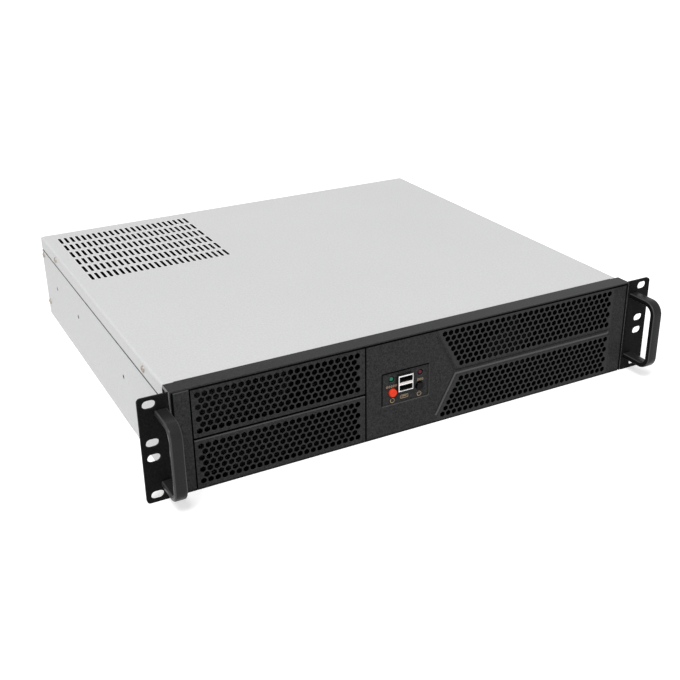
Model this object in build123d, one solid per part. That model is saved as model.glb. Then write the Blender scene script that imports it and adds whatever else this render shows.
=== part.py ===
from build123d import *
import math
import os

os.makedirs("parts", exist_ok=True)

# Empty two-unit rackmount server case, all sizes in millimetres.
# X runs to the right, Y to the rear and Z up. While the pieces are made, Y is 0 at the front
# face of the rack ears. The last lines move the whole case to the bottom centre of its box.

# Rack ears
ear_span = 482.6
ear_height = 88.1
ear_sheet = 2.0
ear_corner = 3.0
ear_bend = 2.4
rack_hole_span = 465.1
rack_first_hole = 5.95
rack_wide_pitch = 31.75
rack_narrow_pitch = 12.7
rack_slot_length = 10.3
rack_slot_height = 7.0
ear_leg_depth = 22.0
ear_leg_foot = 8.0
ear_leg_height = 66.0
ear_screw_count = 3
ear_screw_inset = 6.0
ear_screw_length = 5.9

# Body
body_width = 434.0
body_height = 86.6
body_depth = 400.0
sheet = 1.2
cover_sheet = 1.0
bend = 1.2
fit_gap = 0.1
seam = 0.3
lip_seam = 0.5
cover_lip = 12.0
cover_rear_lip = 11.0
joggle_height = 1.8
top_flange = 12.0
past = 1.0
drill = 8.0
hair = 0.01

# Black front frame
frame_depth = 16.0
frame_top = 87.8
frame_front = 0.2
frame_sheet = 1.0
strip_lip = 2.6
strip_round = 0.6
strip_relief_width = 9.0
strip_relief_depth = 1.2
hem_width = 1.0
hem_depth = 4.4
frame_bar = 8.0
frame_margin = 12.0
fan_lip = 1.0

# Fascia plates
face_sheet = 1.2
face_round = 0.4
fascia_gap = 0.6
trim_width = 14.0
bay_width = 146.2
bay_height = 41.4
bay_gap = 2.1
bay_flange = 8.0
bay_clip_depth = 22.0
bay_clip_height = 14.0
bay_clearance = 0.3
mesh_pitch = 5.83
mesh_hole = 4.5
mesh_rows = 7
bay_mesh_columns = 24
bay_mesh_shift = -0.9
grille_mesh_columns = 31
grille_mesh_right = 21.9
grille_axis_z = 43.6
grille_mesh_offset = 7.2
groove_width = 4.4
groove_arm_width = 3.0
groove_depth = 0.9
groove_slope = 50.0
groove_tip_x = 32.1
groove_arm_x = 18.7
groove_arm_z = 35.2
groove_end_x = 196.2

# Control window and what sits behind it
window_width = 45.7
window_height = 30.2
window_round = 1.5
window_x = -17.0
window_z = 43.4
control_shift = 1.0
panel_rim = 3.0
panel_sheet = 1.2
post_wall = 1.4
post_bore_depth = 7.0
led_radius = 2.1
led_gap = 0.5
led_x = 13.7
led_z = 7.9
led_sunk = 0.5
led_dome = 1.8
led_flange_radius = 2.9
led_flange = 1.0
led_length = 8.6
spacer_wall = 1.2
button_radius = 3.5
button_x = 12.9
button_z = -4.3
button_proud = 1.0
button_travel = 1.5
button_gap = 0.25
button_round = 0.8
collar_sheet = 1.0
collar_reach = 0.6
stem_radius = 1.5
stem_depth = 2.2
stem_gap = 0.15
stem_floor_gap = 0.5
switch_size = 7.0
switch_length = 7.0
port_width = 14.0
port_height = 14.4
port_wall = 0.7
port_mouth_height = 5.2
port_pitch = 7.5
port_proud = 1.8
port_x = -1.6
port_z = 3.1
port_round = 0.3
port_back = 4.0
tongue_height = 1.8
tongue_length = 12.0
tongue_drop = 1.0
tongue_side_gap = 0.6
board_face = 17.6
board_sheet = 1.6
board_screw_radius = 1.5
board_screw_reach = 5.0
board_screw_head = 1.4
board_screw_head_radius = 2.4
post_inset = 0.9
header_width = 12.0
header_height = 3.0
header_depth = 6.0

# Fan behind the grille
fan_size = 80.0
fan_depth = 25.0
fan_bore = 76.0
fan_hole_pitch = 71.5
fan_x = 92.0
fan_z = 44.0
fan_screw_radius = 2.0
fan_screw_reach = 10.0
fan_corner = 4.0
fan_flange = 4.0
fan_notch = 9.0
fan_wall = 1.6
strut_width = 3.5
strut_angles = (45, 135)
rotor_hub_radius = 17.0
rotor_tip_gap = 1.2
rotor_length = 19.0
rotor_front_gap = 1.5
hub_wall = 1.8
hub_lid = 2.0
blade_count = 7
blade_sheet = 1.6
blade_pitch_angle = 38.0
blade_inset = 0.5
blade_root = 0.6
blade_spare = 4.0
motor_length = 3.0
bearing_wall = 2.5
bearing_length = 10.0
bearing_floor = 0.8
shaft_radius = 1.5
shaft_gap = 0.05
shaft_end_gap = 0.8

# Handles
handle_hole_pitch = 60.0
handle_width = 10.0
handle_bar = 5.0
handle_reach = 32.0
handle_bend = 9.5
handle_x = 224.0
handle_round = 0.8
handle_screw_radius = 2.0
handle_screw_reach = 9.0
handle_hole_depth = 12.0

# Top cover vent over the power supply
vent_rows = 6
vent_columns = 24
vent_slot_width = 3.0
vent_slot_length = 17.4
vent_row_pitch = 22.8
vent_column_pitch = 5.85
vent_first_x = -202.0
vent_rear_margin = 17.3

# Small screws
screw_radius = 1.5
screw_gap = 0.2
thread_gap = 0.05
screw_head_radius = 2.9
screw_head = 1.7
screw_head_round = 0.75
recess_length = 3.2
recess_width = 0.7
recess_depth = 0.85
screw_length = 4.5
machine_head_radius = 3.4
machine_head = 2.2
cover_screw_front = 61.0
cover_screw_rear = 338.0
rear_screw_inset = 8.0
rear_screw_low = 17.0
rear_screw_high = 69.0

# Holes for sliding rails in the side walls
rail_hole_radius = 2.0
rail_hole_z = 46.0
rail_hole_y = (124.0, 268.0, 349.0)

# Drive bay sides and drive bracket
cage_sheet = 1.0
cage_length = 130.0
cage_flange = 10.0
cage_tab_length = 14.0
cage_tab_reach = 4.0
cage_tab_front = 40.0
cage_tab_rear = 30.0
cage_notch = 10.0
cage_screw_front = 24.0
cage_screw_rear = 20.0
ledge_gap = 0.4
bay_slot_front = 30.0
bay_slot_pitch = 52.0
bay_slot_rise = 10.0
bay_slot_length = 9.0
drive_hole_radius = 1.8
bracket_length = 146.0
bracket_span = 102.2
bracket_height = 27.0
bracket_x = 126.0
bracket_y = 48.0
bracket_side_hole = 6.35
bracket_hole_pitch = 101.6

# Rear panel openings
supply_width = 150.0
supply_x = -138.0
supply_depth = 140.0
supply_window_width = 140.0
supply_window_height = 76.0
supply_window_z = 43.6
supply_screw_span = 138.0
supply_lower_span = 114.0
supply_screw_rise = 64.0
supply_ear_radius = 8.0
supply_hole_radius = 1.8
blank_clip_height = 14.0
blank_clip_lip = 2.0
supply_stop_inset = 6.0
shelf_height = 14.0
shelf_foot = 12.0
io_width = 158.75
io_height = 44.45
io_bottom = 11.0
slot_count = 4
slot_pitch = 20.32
slot_to_io = 9.0
slot_window_width = 13.0
slot_window_bottom = 9.0
slot_window_top = 72.0
slot_cover_width = 18.4
slot_cover_sheet = 0.9
slot_cover_bottom = 4.0
slot_cover_top = 80.2
slot_tab = 11.0
slot_rail_spare = 4.0
slot_rail_drop = 6.0
rear_vent_count = 24
rear_vent_pitch = 6.2
rear_vent_width = 3.0
rear_vent_bottom = 61.0
rear_vent_top = 79.0
panel_step_gap = 1.5
panel_flange_inset = 3.0
panel_top_flange = 8.0
panel_floor_flange = 6.0
panel_side_flange = 14.0

# Mainboard seat
board_edge_x = 209.0
board_rear_gap = 0.7
standoff_height = 6.3
standoff_flats = 5.5
standoff_bore = 1.25
standoff_columns = (6.35, 163.83, 209.55)
standoff_rows = (10.16, 165.1, 237.49)
standoff_edge_row = 33.02

# Cross bar under the cover
bar_y = 205.0
bar_width = 20.0
bar_drop = 8.0

# Places worked out from the sizes above
half = body_width / 2
cover_under = body_height - cover_sheet
wall_in = half - sheet
step_in = cover_sheet + fit_gap
upper_wall_in = wall_in - step_in
lip_bottom = body_height - cover_lip
cover_front = frame_depth + seam
panel_face = body_depth - cover_sheet - fit_gap
panel_in = panel_face - sheet
frame_wall = frame_depth - frame_sheet
frame_roof = frame_top - frame_sheet
frame_side = upper_wall_in - seam
fascia_edge = half - hem_width - seam
flange_edge = frame_side - frame_sheet - seam
fascia_low = frame_sheet + seam
fascia_top = frame_roof - fascia_gap
wall_front = hem_depth + seam
bay_high = fascia_low + bay_height + bay_gap
bay_left = -fascia_edge + trim_width + fascia_gap
bay_right = bay_left + bay_width
bay_centre_x = (bay_left + bay_right) / 2
grille_left = bay_right + fascia_gap
control_x = window_x + control_shift
ear_inner = half + fit_gap
ear_seat = ear_inner + ear_sheet
rack_holes = (
    rack_first_hole,
    rack_first_hole + rack_wide_pitch,
    rack_first_hole + rack_wide_pitch + rack_narrow_pitch,
    rack_first_hole + 2 * rack_wide_pitch + rack_narrow_pitch,
)
row_rise = mesh_pitch * math.sqrt(3) / 2
panel_back = face_sheet + panel_sheet
switch_front = board_face - switch_length
board_rear = panel_in - board_rear_gap
slot_first_x = board_edge_x - io_width - slot_window_width / 2 - slot_to_io
ledge_top = slot_cover_top - slot_cover_sheet
screw_hole = screw_radius + screw_gap
wall_step = lip_bottom - lip_seam


def block(x, y, z):
    """A box between two limits on each axis."""
    size = (x[1] - x[0], y[1] - y[0], z[1] - z[0])
    middle = ((x[0] + x[1]) / 2, (y[0] + y[1]) / 2, (z[0] + z[1]) / 2)
    return Pos(*middle) * Box(*size)


def rod(centre, radius, length, axis):
    """A cylinder about a centre point, along X, Y or Z."""
    turns = {"x": Rotation(0, 90, 0), "y": Rotation(90, 0, 0), "z": Rotation(0, 0, 0)}
    return Pos(*centre) * turns[axis] * Cylinder(radius, length)


def rod_between(centre, radius, start, end):
    """A cylinder along Y from one depth to another, about a point in X and Z."""
    return rod((centre[0], (start + end) / 2, centre[1]), radius, end - start, "y")


def folded(points, thickness, start, end):
    """A folded sheet: a centre line in X and Z, given the sheet's thickness, pushed along Y."""
    line = FilletPolyline(*points, radius=bend)
    section = Plane.XZ.offset(-start) * trace(line, thickness)
    return extrude(section, amount=end - start, dir=(0, 1, 0))


def folded_across(points, thickness, start, end):
    """A folded sheet: a centre line in Y and Z, pushed along X."""
    line = FilletPolyline(*points, radius=bend)
    section = Plane.YZ.offset(start) * trace(line, thickness)
    return extrude(section, amount=end - start, dir=(1, 0, 0))


def pan_screw(seat, direction, length=screw_length):
    """A pan-head screw: its head stands on the seat, and its shank goes along the direction."""
    out = Vector(*direction) * -1
    seat = Vector(*seat)
    head = Plane(origin=seat, z_dir=out) * Cylinder(
        screw_head_radius, screw_head, align=(Align.CENTER, Align.CENTER, Align.MIN)
    )
    rim = head.edges().sort_by(Axis(seat, out))[-1]
    head = fillet(rim, screw_head_round)
    shank = Plane(origin=seat, z_dir=Vector(*direction)) * Cylinder(
        screw_radius, length, align=(Align.CENTER, Align.CENTER, Align.MIN)
    )
    recess = Plane(origin=seat + out * screw_head, z_dir=out)
    cross = recess * Box(recess_length, recess_width, 2 * recess_depth)
    cross += recess * Box(recess_width, recess_length, 2 * recess_depth)
    return head + shank - cross


def hexagon(x, z):
    """One point-up hexagon of the mesh."""
    return Pos(x, z) * RegularPolygon(mesh_hole / math.sqrt(3), 6, rotation=30)


def cut_through(cells, start, end):
    """Flat shapes drawn in X and Z, pushed along Y from one depth to another."""
    return extrude(Plane.XZ.offset(-start) * Sketch(children=cells), amount=end - start, dir=(0, 1, 0))


def honeycomb(centre_x, centre_z, start, end):
    """The bay covers' field: every second row is one hole shorter and half a pitch in."""
    cells = []
    for row in range(mesh_rows):
        count = bay_mesh_columns - row % 2
        z = centre_z + (row - (mesh_rows - 1) / 2) * row_rise
        for column in range(count):
            cells.append(hexagon(centre_x + (column - (count - 1) / 2) * mesh_pitch, z))
    return cut_through(cells, start, end)


def slanted_honeycomb(side, start, end):
    """The grille's field above or below the groove, with its left end parallel to an arm."""
    cells = []
    for row in range(mesh_rows):
        count = grille_mesh_columns - (row + 1) // 2
        z = grille_axis_z + side * (grille_mesh_offset + (mesh_rows - 1 - row) * row_rise)
        right = half - grille_mesh_right - row % 2 * mesh_pitch / 2
        for column in range(count):
            cells.append(hexagon(right - column * mesh_pitch, z))
    return cut_through(cells, start, end)


def chassis_base():
    """Floor and both side walls, one folded sheet, stepped in at the top to go under the cover."""
    wall = half - sheet / 2
    upper = wall - step_in
    flange_z = cover_under - fit_gap - sheet / 2
    side = [
        (upper - top_flange, flange_z),
        (upper, flange_z),
        (upper, wall_step),
        (wall, wall_step - joggle_height),
        (wall, sheet / 2),
    ]
    path = [(-x, z) for x, z in side] + [(x, z) for x, z in reversed(side)]
    base = folded(path, sheet, wall_front, body_depth)
    front_zone = (0, cover_front)
    base -= block((-half - past, half + past), front_zone, (-past, fascia_low + bend))
    for direction in (-1, 1):
        flange_reach = upper_wall_in - top_flange - past
        low, high = sorted((direction * flange_reach, direction * upper_wall_in))
        base -= block((low, high), front_zone, (lip_bottom, ear_height))
        base -= block((low, high), (panel_in - seam, body_depth + past), (lip_bottom, ear_height))
        edge = sorted((direction * (upper_wall_in - past), direction * (half + past)))
        base -= block(edge, front_zone, (frame_top - strip_lip - seam, ear_height))
        rear_zone = (panel_face, body_depth + past)
        base -= block(edge, rear_zone, (wall_step - joggle_height, ear_height))
        for y in rail_hole_y:
            base -= rod((direction * half, y, rail_hole_z), rail_hole_radius, drill, "x")
        for y in (cover_screw_front, cover_screw_rear):
            base -= rod((direction * half, y, cover_screw_z()), screw_hole, drill, "x")
        for z in (rear_screw_low, rear_screw_high):
            spot = (direction * half, body_depth - rear_screw_inset, z)
            base -= rod(spot, screw_hole, drill, "x")
        for y, z in ear_screw_spots():
            base -= rod((direction * half, y, z), screw_hole, drill, "x")
    for x, y in floor_screw_spots():
        base -= rod((x, y, 0), screw_hole, drill, "z")
    return base


def cover_screw_z():
    """Height of the cover's side screws, in the middle of its lip."""
    return lip_bottom + cover_lip / 2


def ear_screw_spots():
    """Depth and height of the screws that hold an ear's leg."""
    step = (ear_leg_height - 2 * ear_leg_foot) / (ear_screw_count - 1)
    depth = frame_depth - ear_screw_inset
    return [(depth, 2 * ear_leg_foot + number * step) for number in range(ear_screw_count)]


def cage_sides():
    """The faces of the drive bays' two sides that look into the bays."""
    return bay_left - bay_clearance, bay_right + bay_clearance


def floor_screw_spots():
    """Where the drive bay sides, the drive bracket and the supply stop are screwed to the floor."""
    left, right = cage_sides()
    reach = cage_sheet + cage_flange / 2
    spots = []
    for y in (frame_depth + cage_screw_front, frame_depth + cage_length - cage_screw_rear):
        spots += [(left - reach, y), (right + reach, y)]
    for x in (bracket_x - bracket_length / 3, bracket_x + bracket_length / 3):
        spots.append((x, bracket_y + cage_sheet + bracket_span / 2))
    for x in (supply_x - supply_width / 3, supply_x + supply_width / 3):
        spots.append((x, shelf_face() - shelf_foot / 2))
    return spots


def shelf_face():
    """Depth of the face that the supply is pushed against."""
    return panel_in - supply_depth - seam


def top_cover():
    """Cover sheet with a lip on both sides and at the rear, and the vent over the supply."""
    wall = half - cover_sheet / 2
    roof = body_height - cover_sheet / 2
    sides = [(-wall, lip_bottom), (-wall, roof), (wall, roof), (wall, lip_bottom)]
    cover = folded(sides, cover_sheet, cover_front, body_depth - bend - cover_sheet / 2)
    rear = body_depth - cover_sheet / 2
    tail = [(rear - cover_lip, roof), (rear, roof), (rear, body_height - cover_rear_lip)]
    inset = cover_sheet + bend
    cover += folded_across(tail, cover_sheet, -half + inset, half - inset)
    slots = []
    for row in range(vent_rows):
        middle = body_depth - vent_rear_margin - vent_slot_length / 2 - row * vent_row_pitch
        for column in range(vent_columns):
            x = vent_first_x + column * vent_column_pitch
            slots.append(Pos(x, middle) * SlotOverall(vent_slot_length, vent_slot_width, rotation=90))
    cutter = extrude(Sketch(children=slots), amount=cover_sheet + 2 * past)
    cover -= Pos(0, 0, cover_under - past) * cutter
    for direction in (-1, 1):
        for y in (cover_screw_front, cover_screw_rear):
            cover -= rod((direction * half, y, cover_screw_z()), screw_hole, drill, "x")
    return cover


def front_frame():
    """Black folded frame: a wall behind the fascia, with a top strip, a floor and two sides."""
    depth = (frame_front, frame_depth)
    strip = block((-half, half), depth, (frame_roof, frame_top))
    long_edges = strip.edges().filter_by(Axis.X).group_by(Axis.Z)[-1]
    strip = fillet(long_edges, strip_round)
    for direction in (-1, 1):
        relief = sorted((direction * (half - strip_relief_width), direction * (half + past)))
        back = (frame_depth - strip_relief_depth, frame_depth + past)
        strip -= block(relief, back, (frame_roof - past, frame_top + past))
    wall = block((-frame_side, frame_side), (frame_wall, frame_depth), (0, frame_top - strip_round))
    frame = strip + wall + block((-frame_side, frame_side), depth, (0, frame_sheet))
    for direction in (-1, 1):
        side = sorted((direction * (frame_side - frame_sheet), direction * frame_side))
        frame += block(side, (hem_depth - frame_sheet, frame_depth), (0, frame_roof))
        web = sorted((direction * (frame_side - frame_sheet), direction * half))
        frame += block(web, (hem_depth - frame_sheet, hem_depth), (0, frame_top - strip_round))
        hem = sorted((direction * (half - hem_width), direction * half))
        frame += block(hem, (frame_front, hem_depth), (0, frame_top - strip_round))
        lip = sorted((direction * (half - sheet), direction * half))
        back = frame_depth - strip_relief_depth
        frame += block(lip, (frame_front, back), (frame_top - strip_lip, frame_top - strip_round))
        for y, z in ear_screw_spots():
            frame -= rod((direction * frame_side, y, z), screw_hole, drill, "x")
    through = (frame_wall - past, frame_depth + past)
    frame -= block(cage_sides(), through, (fascia_low, bay_high + bay_height))
    frame -= rod_between((fan_x, fan_z), fan_bore / 2 - fan_lip, *through)
    for x, z in fan_holes():
        frame -= rod_between((x, z), fan_screw_radius + screw_gap, *through)
    span = control_span(panel_rim)
    frame -= block(span[0], through, span[1])
    vent_low = fan_x + fan_size / 2 + frame_bar
    vent_high = frame_side - frame_margin
    middle = (vent_low + vent_high) / 2
    rib = frame_bar / 2
    for x in ((vent_low, middle - rib), (middle + rib, vent_high)):
        for z in ((frame_bar, grille_axis_z - rib), (grille_axis_z + rib, frame_roof - frame_bar)):
            frame -= block(x, through, z)
    return frame


def control_span(margin):
    """The window's width and height with a margin all round, as limits in X and Z."""
    reach = window_width / 2 + margin
    lift = window_height / 2 + margin
    return (window_x - reach, window_x + reach), (window_z - lift, window_z + lift)


def fan_holes():
    """The four corner holes of the fan, in X and Z."""
    reach = fan_hole_pitch / 2
    return [(fan_x + i * reach, fan_z + j * reach) for i in (-1, 1) for j in (-1, 1)]


def groove_bars():
    """Middle, slope, length and width of the three bars of the groove, which make an arrow."""
    run = groove_end_x - groove_tip_x
    bars = [((groove_tip_x + run / 2, grille_axis_z), 0, run + groove_width, groove_width)]
    arm = math.hypot(groove_arm_x, groove_arm_z) + groove_arm_width
    tilt = math.degrees(math.atan2(groove_arm_z, groove_arm_x))
    for side in (-1, 1):
        middle = (groove_tip_x - groove_arm_x / 2, grille_axis_z + side * groove_arm_z / 2)
        bars.append((middle, -side * tilt, arm, groove_arm_width))
    return bars


def groove(start, margin):
    """The pressed groove with sloping flanks, widened by a margin for the ridge behind it."""
    parts = []
    for (x, z), tilt, length, width in groove_bars():
        outline = SlotOverall(length + 2 * margin, width + 2 * margin)
        bar = extrude(outline, amount=groove_depth, taper=groove_slope)
        parts.append(Pos(x, start, z) * Rotation(-90, 0, 0) * Rotation(0, 0, -tilt) * bar)
    return parts


def front_grille():
    """Stamped fascia plate on the right, with returned edges, two hexagon fields and the groove."""
    span = (grille_left, fascia_edge)
    plate = block(span, (0, face_sheet), (fascia_low, fascia_top))
    back = (face_sheet / 2, frame_wall)
    for z in ((fascia_low, fascia_low + face_sheet), (fascia_top - face_sheet, fascia_top)):
        plate += block((grille_left, flange_edge), back, z)
    plate += block((grille_left, grille_left + face_sheet), back, (fascia_low, fascia_top))
    plate = fillet(plate.edges().group_by(Axis.Y)[0], face_round)
    hole_x, hole_z = control_span(0)
    window = block(hole_x, (-past, face_sheet + past), hole_z)
    plate -= fillet(window.edges().filter_by(Axis.Y), window_round)
    for ridge in groove(face_sheet, face_sheet):
        plate += ridge
    for bar in groove(0, 0):
        plate -= bar
    for side in (-1, 1):
        plate -= slanted_honeycomb(side, -past, face_sheet + past)
    return plate


def left_trim():
    """Narrow black channel between the left ear and the drive bay covers."""
    left = -fascia_edge
    right = left + trim_width
    trim = block((left, right), (0, face_sheet), (fascia_low, fascia_top))
    back = (face_sheet / 2, frame_wall)
    trim += block((right - face_sheet, right), back, (fascia_low, fascia_top))
    for z in ((fascia_low, fascia_low + face_sheet), (fascia_top - face_sheet, fascia_top)):
        trim += block((-flange_edge, right), back, z)
    return fillet(trim.edges().group_by(Axis.Y)[0], face_round)


def bay_cover(bottom):
    """Pressed tray that closes one drive bay, with two clips that spring against the bay's sides."""
    top = bottom + bay_height
    cover = block((bay_left, bay_right), (0, bay_flange), (bottom, top))
    inner = (bay_left + face_sheet, bay_right - face_sheet)
    hollow = (face_sheet, bay_flange + past)
    cover -= block(inner, hollow, (bottom + face_sheet, top - face_sheet))
    cover = fillet(cover.edges().group_by(Axis.Y)[0], face_round)
    middle = (bottom + top) / 2
    grip = (middle - bay_clip_height / 2, middle + bay_clip_height / 2)
    depth = (face_sheet, bay_clip_depth)
    cover += block((bay_left, bay_left + face_sheet), depth, grip)
    cover += block((bay_right - face_sheet, bay_right), depth, grip)
    return cover - honeycomb(bay_centre_x + bay_mesh_shift, middle, -past, face_sheet + past)


def ear(direction):
    """Angle bracket with the four rack slots, and a leg screwed to the outside of the wall."""
    outer = ear_span / 2
    middle = (outer + ear_inner) / 2
    flange = Pos(middle, ear_height / 2) * Rectangle(outer - ear_inner, ear_height)
    flange = fillet(flange.vertices().group_by(Axis.X)[-1], ear_corner)
    for z in rack_holes:
        flange -= Pos(rack_hole_span / 2, z) * SlotOverall(rack_slot_length, rack_slot_height)
    for z in handle_holes():
        flange -= Pos(handle_x, z) * Circle(handle_screw_radius + screw_gap)
    bracket = extrude(Plane.XZ * flange, amount=-ear_sheet)
    leg_z = (ear_leg_foot, ear_leg_foot + ear_leg_height)
    bracket += block((ear_inner, ear_seat), (0, ear_leg_depth), leg_z)
    inner_edges = bracket.edges().filter_by(Axis.Z).group_by(Axis.Y)[0].group_by(Axis.X)[0]
    bracket = fillet(inner_edges, ear_bend)
    for y, z in ear_screw_spots():
        bracket -= rod((ear_inner, y, z), screw_hole, drill, "x")
    return bracket if direction > 0 else mirror(bracket, about=Plane.YZ)


def handle_holes():
    """Heights of a handle's two screws."""
    middle = ear_height / 2
    return (middle - handle_hole_pitch / 2, middle + handle_hole_pitch / 2)


def handle(direction):
    """U-shaped flat bar that stands on the ear, with a tapped hole in the end of each arm."""
    low, high = handle_holes()
    front = -handle_reach + handle_bar / 2
    path = FilletPolyline((0, low), (front, low), (front, high), (0, high), radius=handle_bend)
    start = handle_x - handle_width / 2
    bar = extrude(Plane.YZ.offset(start) * trace(path, handle_bar), amount=handle_width)
    long_edges = bar.edges().filter_by(lambda edge: abs(edge.length - handle_width) > hair)
    long_edges = long_edges.filter_by(lambda edge: edge.center().Y < -hair)
    bar = fillet(long_edges, handle_round)
    for z in (low, high):
        bar -= rod_between((handle_x, z), handle_screw_radius + thread_gap, -handle_hole_depth, past)
    return bar if direction > 0 else mirror(bar, about=Plane.YZ)


def handle_screws():
    """Machine screws from behind the ears into the ends of the handles."""
    screws = []
    for direction in (-1, 1):
        for z in handle_holes():
            spot = (direction * handle_x, z)
            shank = rod_between(spot, handle_screw_radius, -handle_screw_reach, ear_sheet)
            head = rod_between(spot, machine_head_radius, ear_sheet, ear_sheet + machine_head)
            screws.append(shank + head)
    return screws


def side_screws(spots, face, length=screw_length):
    """Pan-head screws on both sides, driven inwards, with their heads on the given face."""
    screws = []
    for direction in (-1, 1):
        for y, z in spots:
            screws.append(pan_screw((direction * face, y, z), (-direction, 0, 0), length))
    return screws


def lamp_spot(direction):
    """Middle of the left or right lamp, in X and Z."""
    return control_x + direction * led_x, window_z + led_z


def button_spot(direction):
    """Middle of the left or right button, in X and Z."""
    return control_x + direction * button_x, window_z + button_z


def control_plate():
    """Black plate behind the window, pierced for the lamps, buttons and port, with four posts."""
    span = control_span(panel_rim - seam)
    plate = block(span[0], (face_sheet, panel_back), span[1])
    for spot in post_spots():
        plate += rod_between(spot, board_screw_radius + post_wall, panel_back, board_face)
        plate -= rod_between(spot, board_screw_radius, board_face - post_bore_depth, board_face + past)
    through = (0, panel_back + past)
    for direction in (-1, 1):
        plate -= rod_between(lamp_spot(direction), led_radius + led_gap, *through)
        plate -= rod_between(button_spot(direction), button_radius + button_gap, *through)
    x, z = control_x + port_x, window_z + port_z
    wide = port_width / 2 + fit_gap
    tall = port_height / 2 + fit_gap
    plate -= block((x - wide, x + wide), through, (z - tall, z + tall))
    return plate


def post_spots():
    """Where the board is screwed to the plate's posts, in X and Z."""
    span_x, span_z = control_span(-post_inset)
    return [(x, z) for x in span_x for z in span_z]


def control_board():
    """Small circuit board on the plate's posts, with a cable header on its back."""
    span = control_span(panel_rim - seam)
    back = board_face + board_sheet
    board = block(span[0], (board_face, back), span[1])
    for spot in post_spots():
        board -= rod_between(spot, board_screw_radius + fit_gap, board_face - past, back + past)
    low = span[1][0] + panel_rim
    reach = header_width / 2
    header_x = (control_x - reach, control_x + reach)
    return board + block(header_x, (board_face, back + header_depth), (low, low + header_height))


def board_screws():
    """Small screws that hold the board on the posts."""
    back = board_face + board_sheet
    screws = []
    for spot in post_spots():
        shank = rod_between(spot, board_screw_radius - thread_gap, board_face - board_screw_reach, back)
        head = rod_between(spot, board_screw_head_radius, back, back + board_screw_head)
        screws.append(shank + head)
    return screws


def button(direction):
    """Round key with a retaining collar behind the plate and a stem that enters the switch."""
    spot = button_spot(direction)
    collar_front = panel_back + button_gap
    collar_back = collar_front + collar_sheet
    cap = rod_between(spot, button_radius, -button_proud, collar_back)
    rim = cap.edges().filter_by(GeomType.CIRCLE).sort_by(Axis.Y)[0]
    cap = fillet(rim, button_round)
    collar = rod_between(spot, button_radius + collar_reach, collar_front, collar_back)
    return cap + collar + rod_between(spot, stem_radius, collar_front, switch_front + stem_depth)


def switch(direction):
    """Push switch on the board, with a blind bore for the stem and room for its travel."""
    x, z = button_spot(direction)
    reach = switch_size / 2
    body = block((x - reach, x + reach), (switch_front, board_face), (z - reach, z + reach))
    depth = stem_depth + button_travel + stem_floor_gap
    return body - rod_between((x, z), stem_radius + stem_gap, switch_front - past, switch_front + depth)


def lamp(direction):
    """Round lamp with a domed front, and a collar at its back."""
    spot = lamp_spot(direction)
    front = face_sheet - led_sunk
    back = front + led_length
    body = rod_between(spot, led_radius, front, back)
    rim = body.edges().filter_by(GeomType.CIRCLE).sort_by(Axis.Y)[0]
    body = fillet(rim, led_dome)
    return body + rod_between(spot, led_flange_radius, back - led_flange, back)


def lamp_spacer(direction):
    """Tube between a lamp's collar and the board."""
    spot = lamp_spot(direction)
    start = face_sheet - led_sunk + led_length
    tube = rod_between(spot, led_flange_radius, start, board_face)
    return tube - rod_between(spot, led_flange_radius - spacer_wall, start - past, board_face + past)


def port_mouths():
    """The two sockets of the port, as limits in X and Z."""
    x, z = control_x + port_x, window_z + port_z
    wide = port_width / 2 - port_wall
    tall = port_mouth_height / 2
    middles = (z - port_pitch / 2, z + port_pitch / 2)
    return [((x - wide, x + wide), (middle - tall, middle + tall)) for middle in middles]


def port_shell():
    """Pressed metal shell with two stacked sockets, standing on the board."""
    x, z = control_x + port_x, window_z + port_z
    wide, tall = port_width / 2, port_height / 2
    shell = block((x - wide, x + wide), (-port_proud, board_face), (z - tall, z + tall))
    shell = fillet(shell.edges().group_by(Axis.Y)[0], port_round)
    for mouth_x, mouth_z in port_mouths():
        shell -= block(mouth_x, (-port_proud - past, board_face - port_back), mouth_z)
    return shell


def port_tongues():
    """The contact tongue of each socket, against the socket's back wall."""
    tongues = []
    for mouth_x, mouth_z in port_mouths():
        low = mouth_z[1] - tongue_height - tongue_drop
        span = (mouth_x[0] + tongue_side_gap, mouth_x[1] - tongue_side_gap)
        back = board_face - port_back
        tongues.append(block(span, (back - tongue_length, back), (low, low + tongue_height)))
    return tongues


def fan_frame():
    """Moulded square fan frame with a round duct, a motor seat and four struts."""
    low, high = frame_depth, frame_depth + fan_depth
    reach = fan_size / 2
    frame = block((fan_x - reach, fan_x + reach), (low, high), (fan_z - reach, fan_z + reach))
    frame = fillet(frame.edges().filter_by(Axis.Y), fan_corner)
    spot = (fan_x, fan_z)
    frame -= rod_between(spot, fan_bore / 2, low - past, high + past)
    keep = rod_between(spot, fan_bore / 2 + fan_wall, low, high)
    for i in (-1, 1):
        for j in (-1, 1):
            corner = (fan_x + i * reach, fan_z + j * reach)
            cut_x = sorted((corner[0] + i * past, corner[0] - i * fan_notch))
            cut_z = sorted((corner[1] + j * past, corner[1] - j * fan_notch))
            frame -= block(cut_x, (low + fan_flange, high - fan_flange), cut_z) - keep
    for hole in fan_holes():
        frame -= rod_between(hole, fan_screw_radius + screw_gap, low - past, high + past)
    seat_front = high - motor_length
    seat = rod_between(spot, rotor_hub_radius, seat_front, high)
    for angle in strut_angles:
        arm = Pos(fan_x, high - motor_length / 2, fan_z) * Rotation(0, angle, 0)
        seat += arm * Box(fan_bore + fan_wall, motor_length, strut_width)
    bearing_front = seat_front - bearing_length
    seat += rod_between(spot, shaft_radius + bearing_wall, bearing_front, seat_front)
    bore = shaft_radius + shaft_gap
    seat -= rod_between(spot, bore, bearing_front - past, high - bearing_floor)
    return frame + seat


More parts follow.
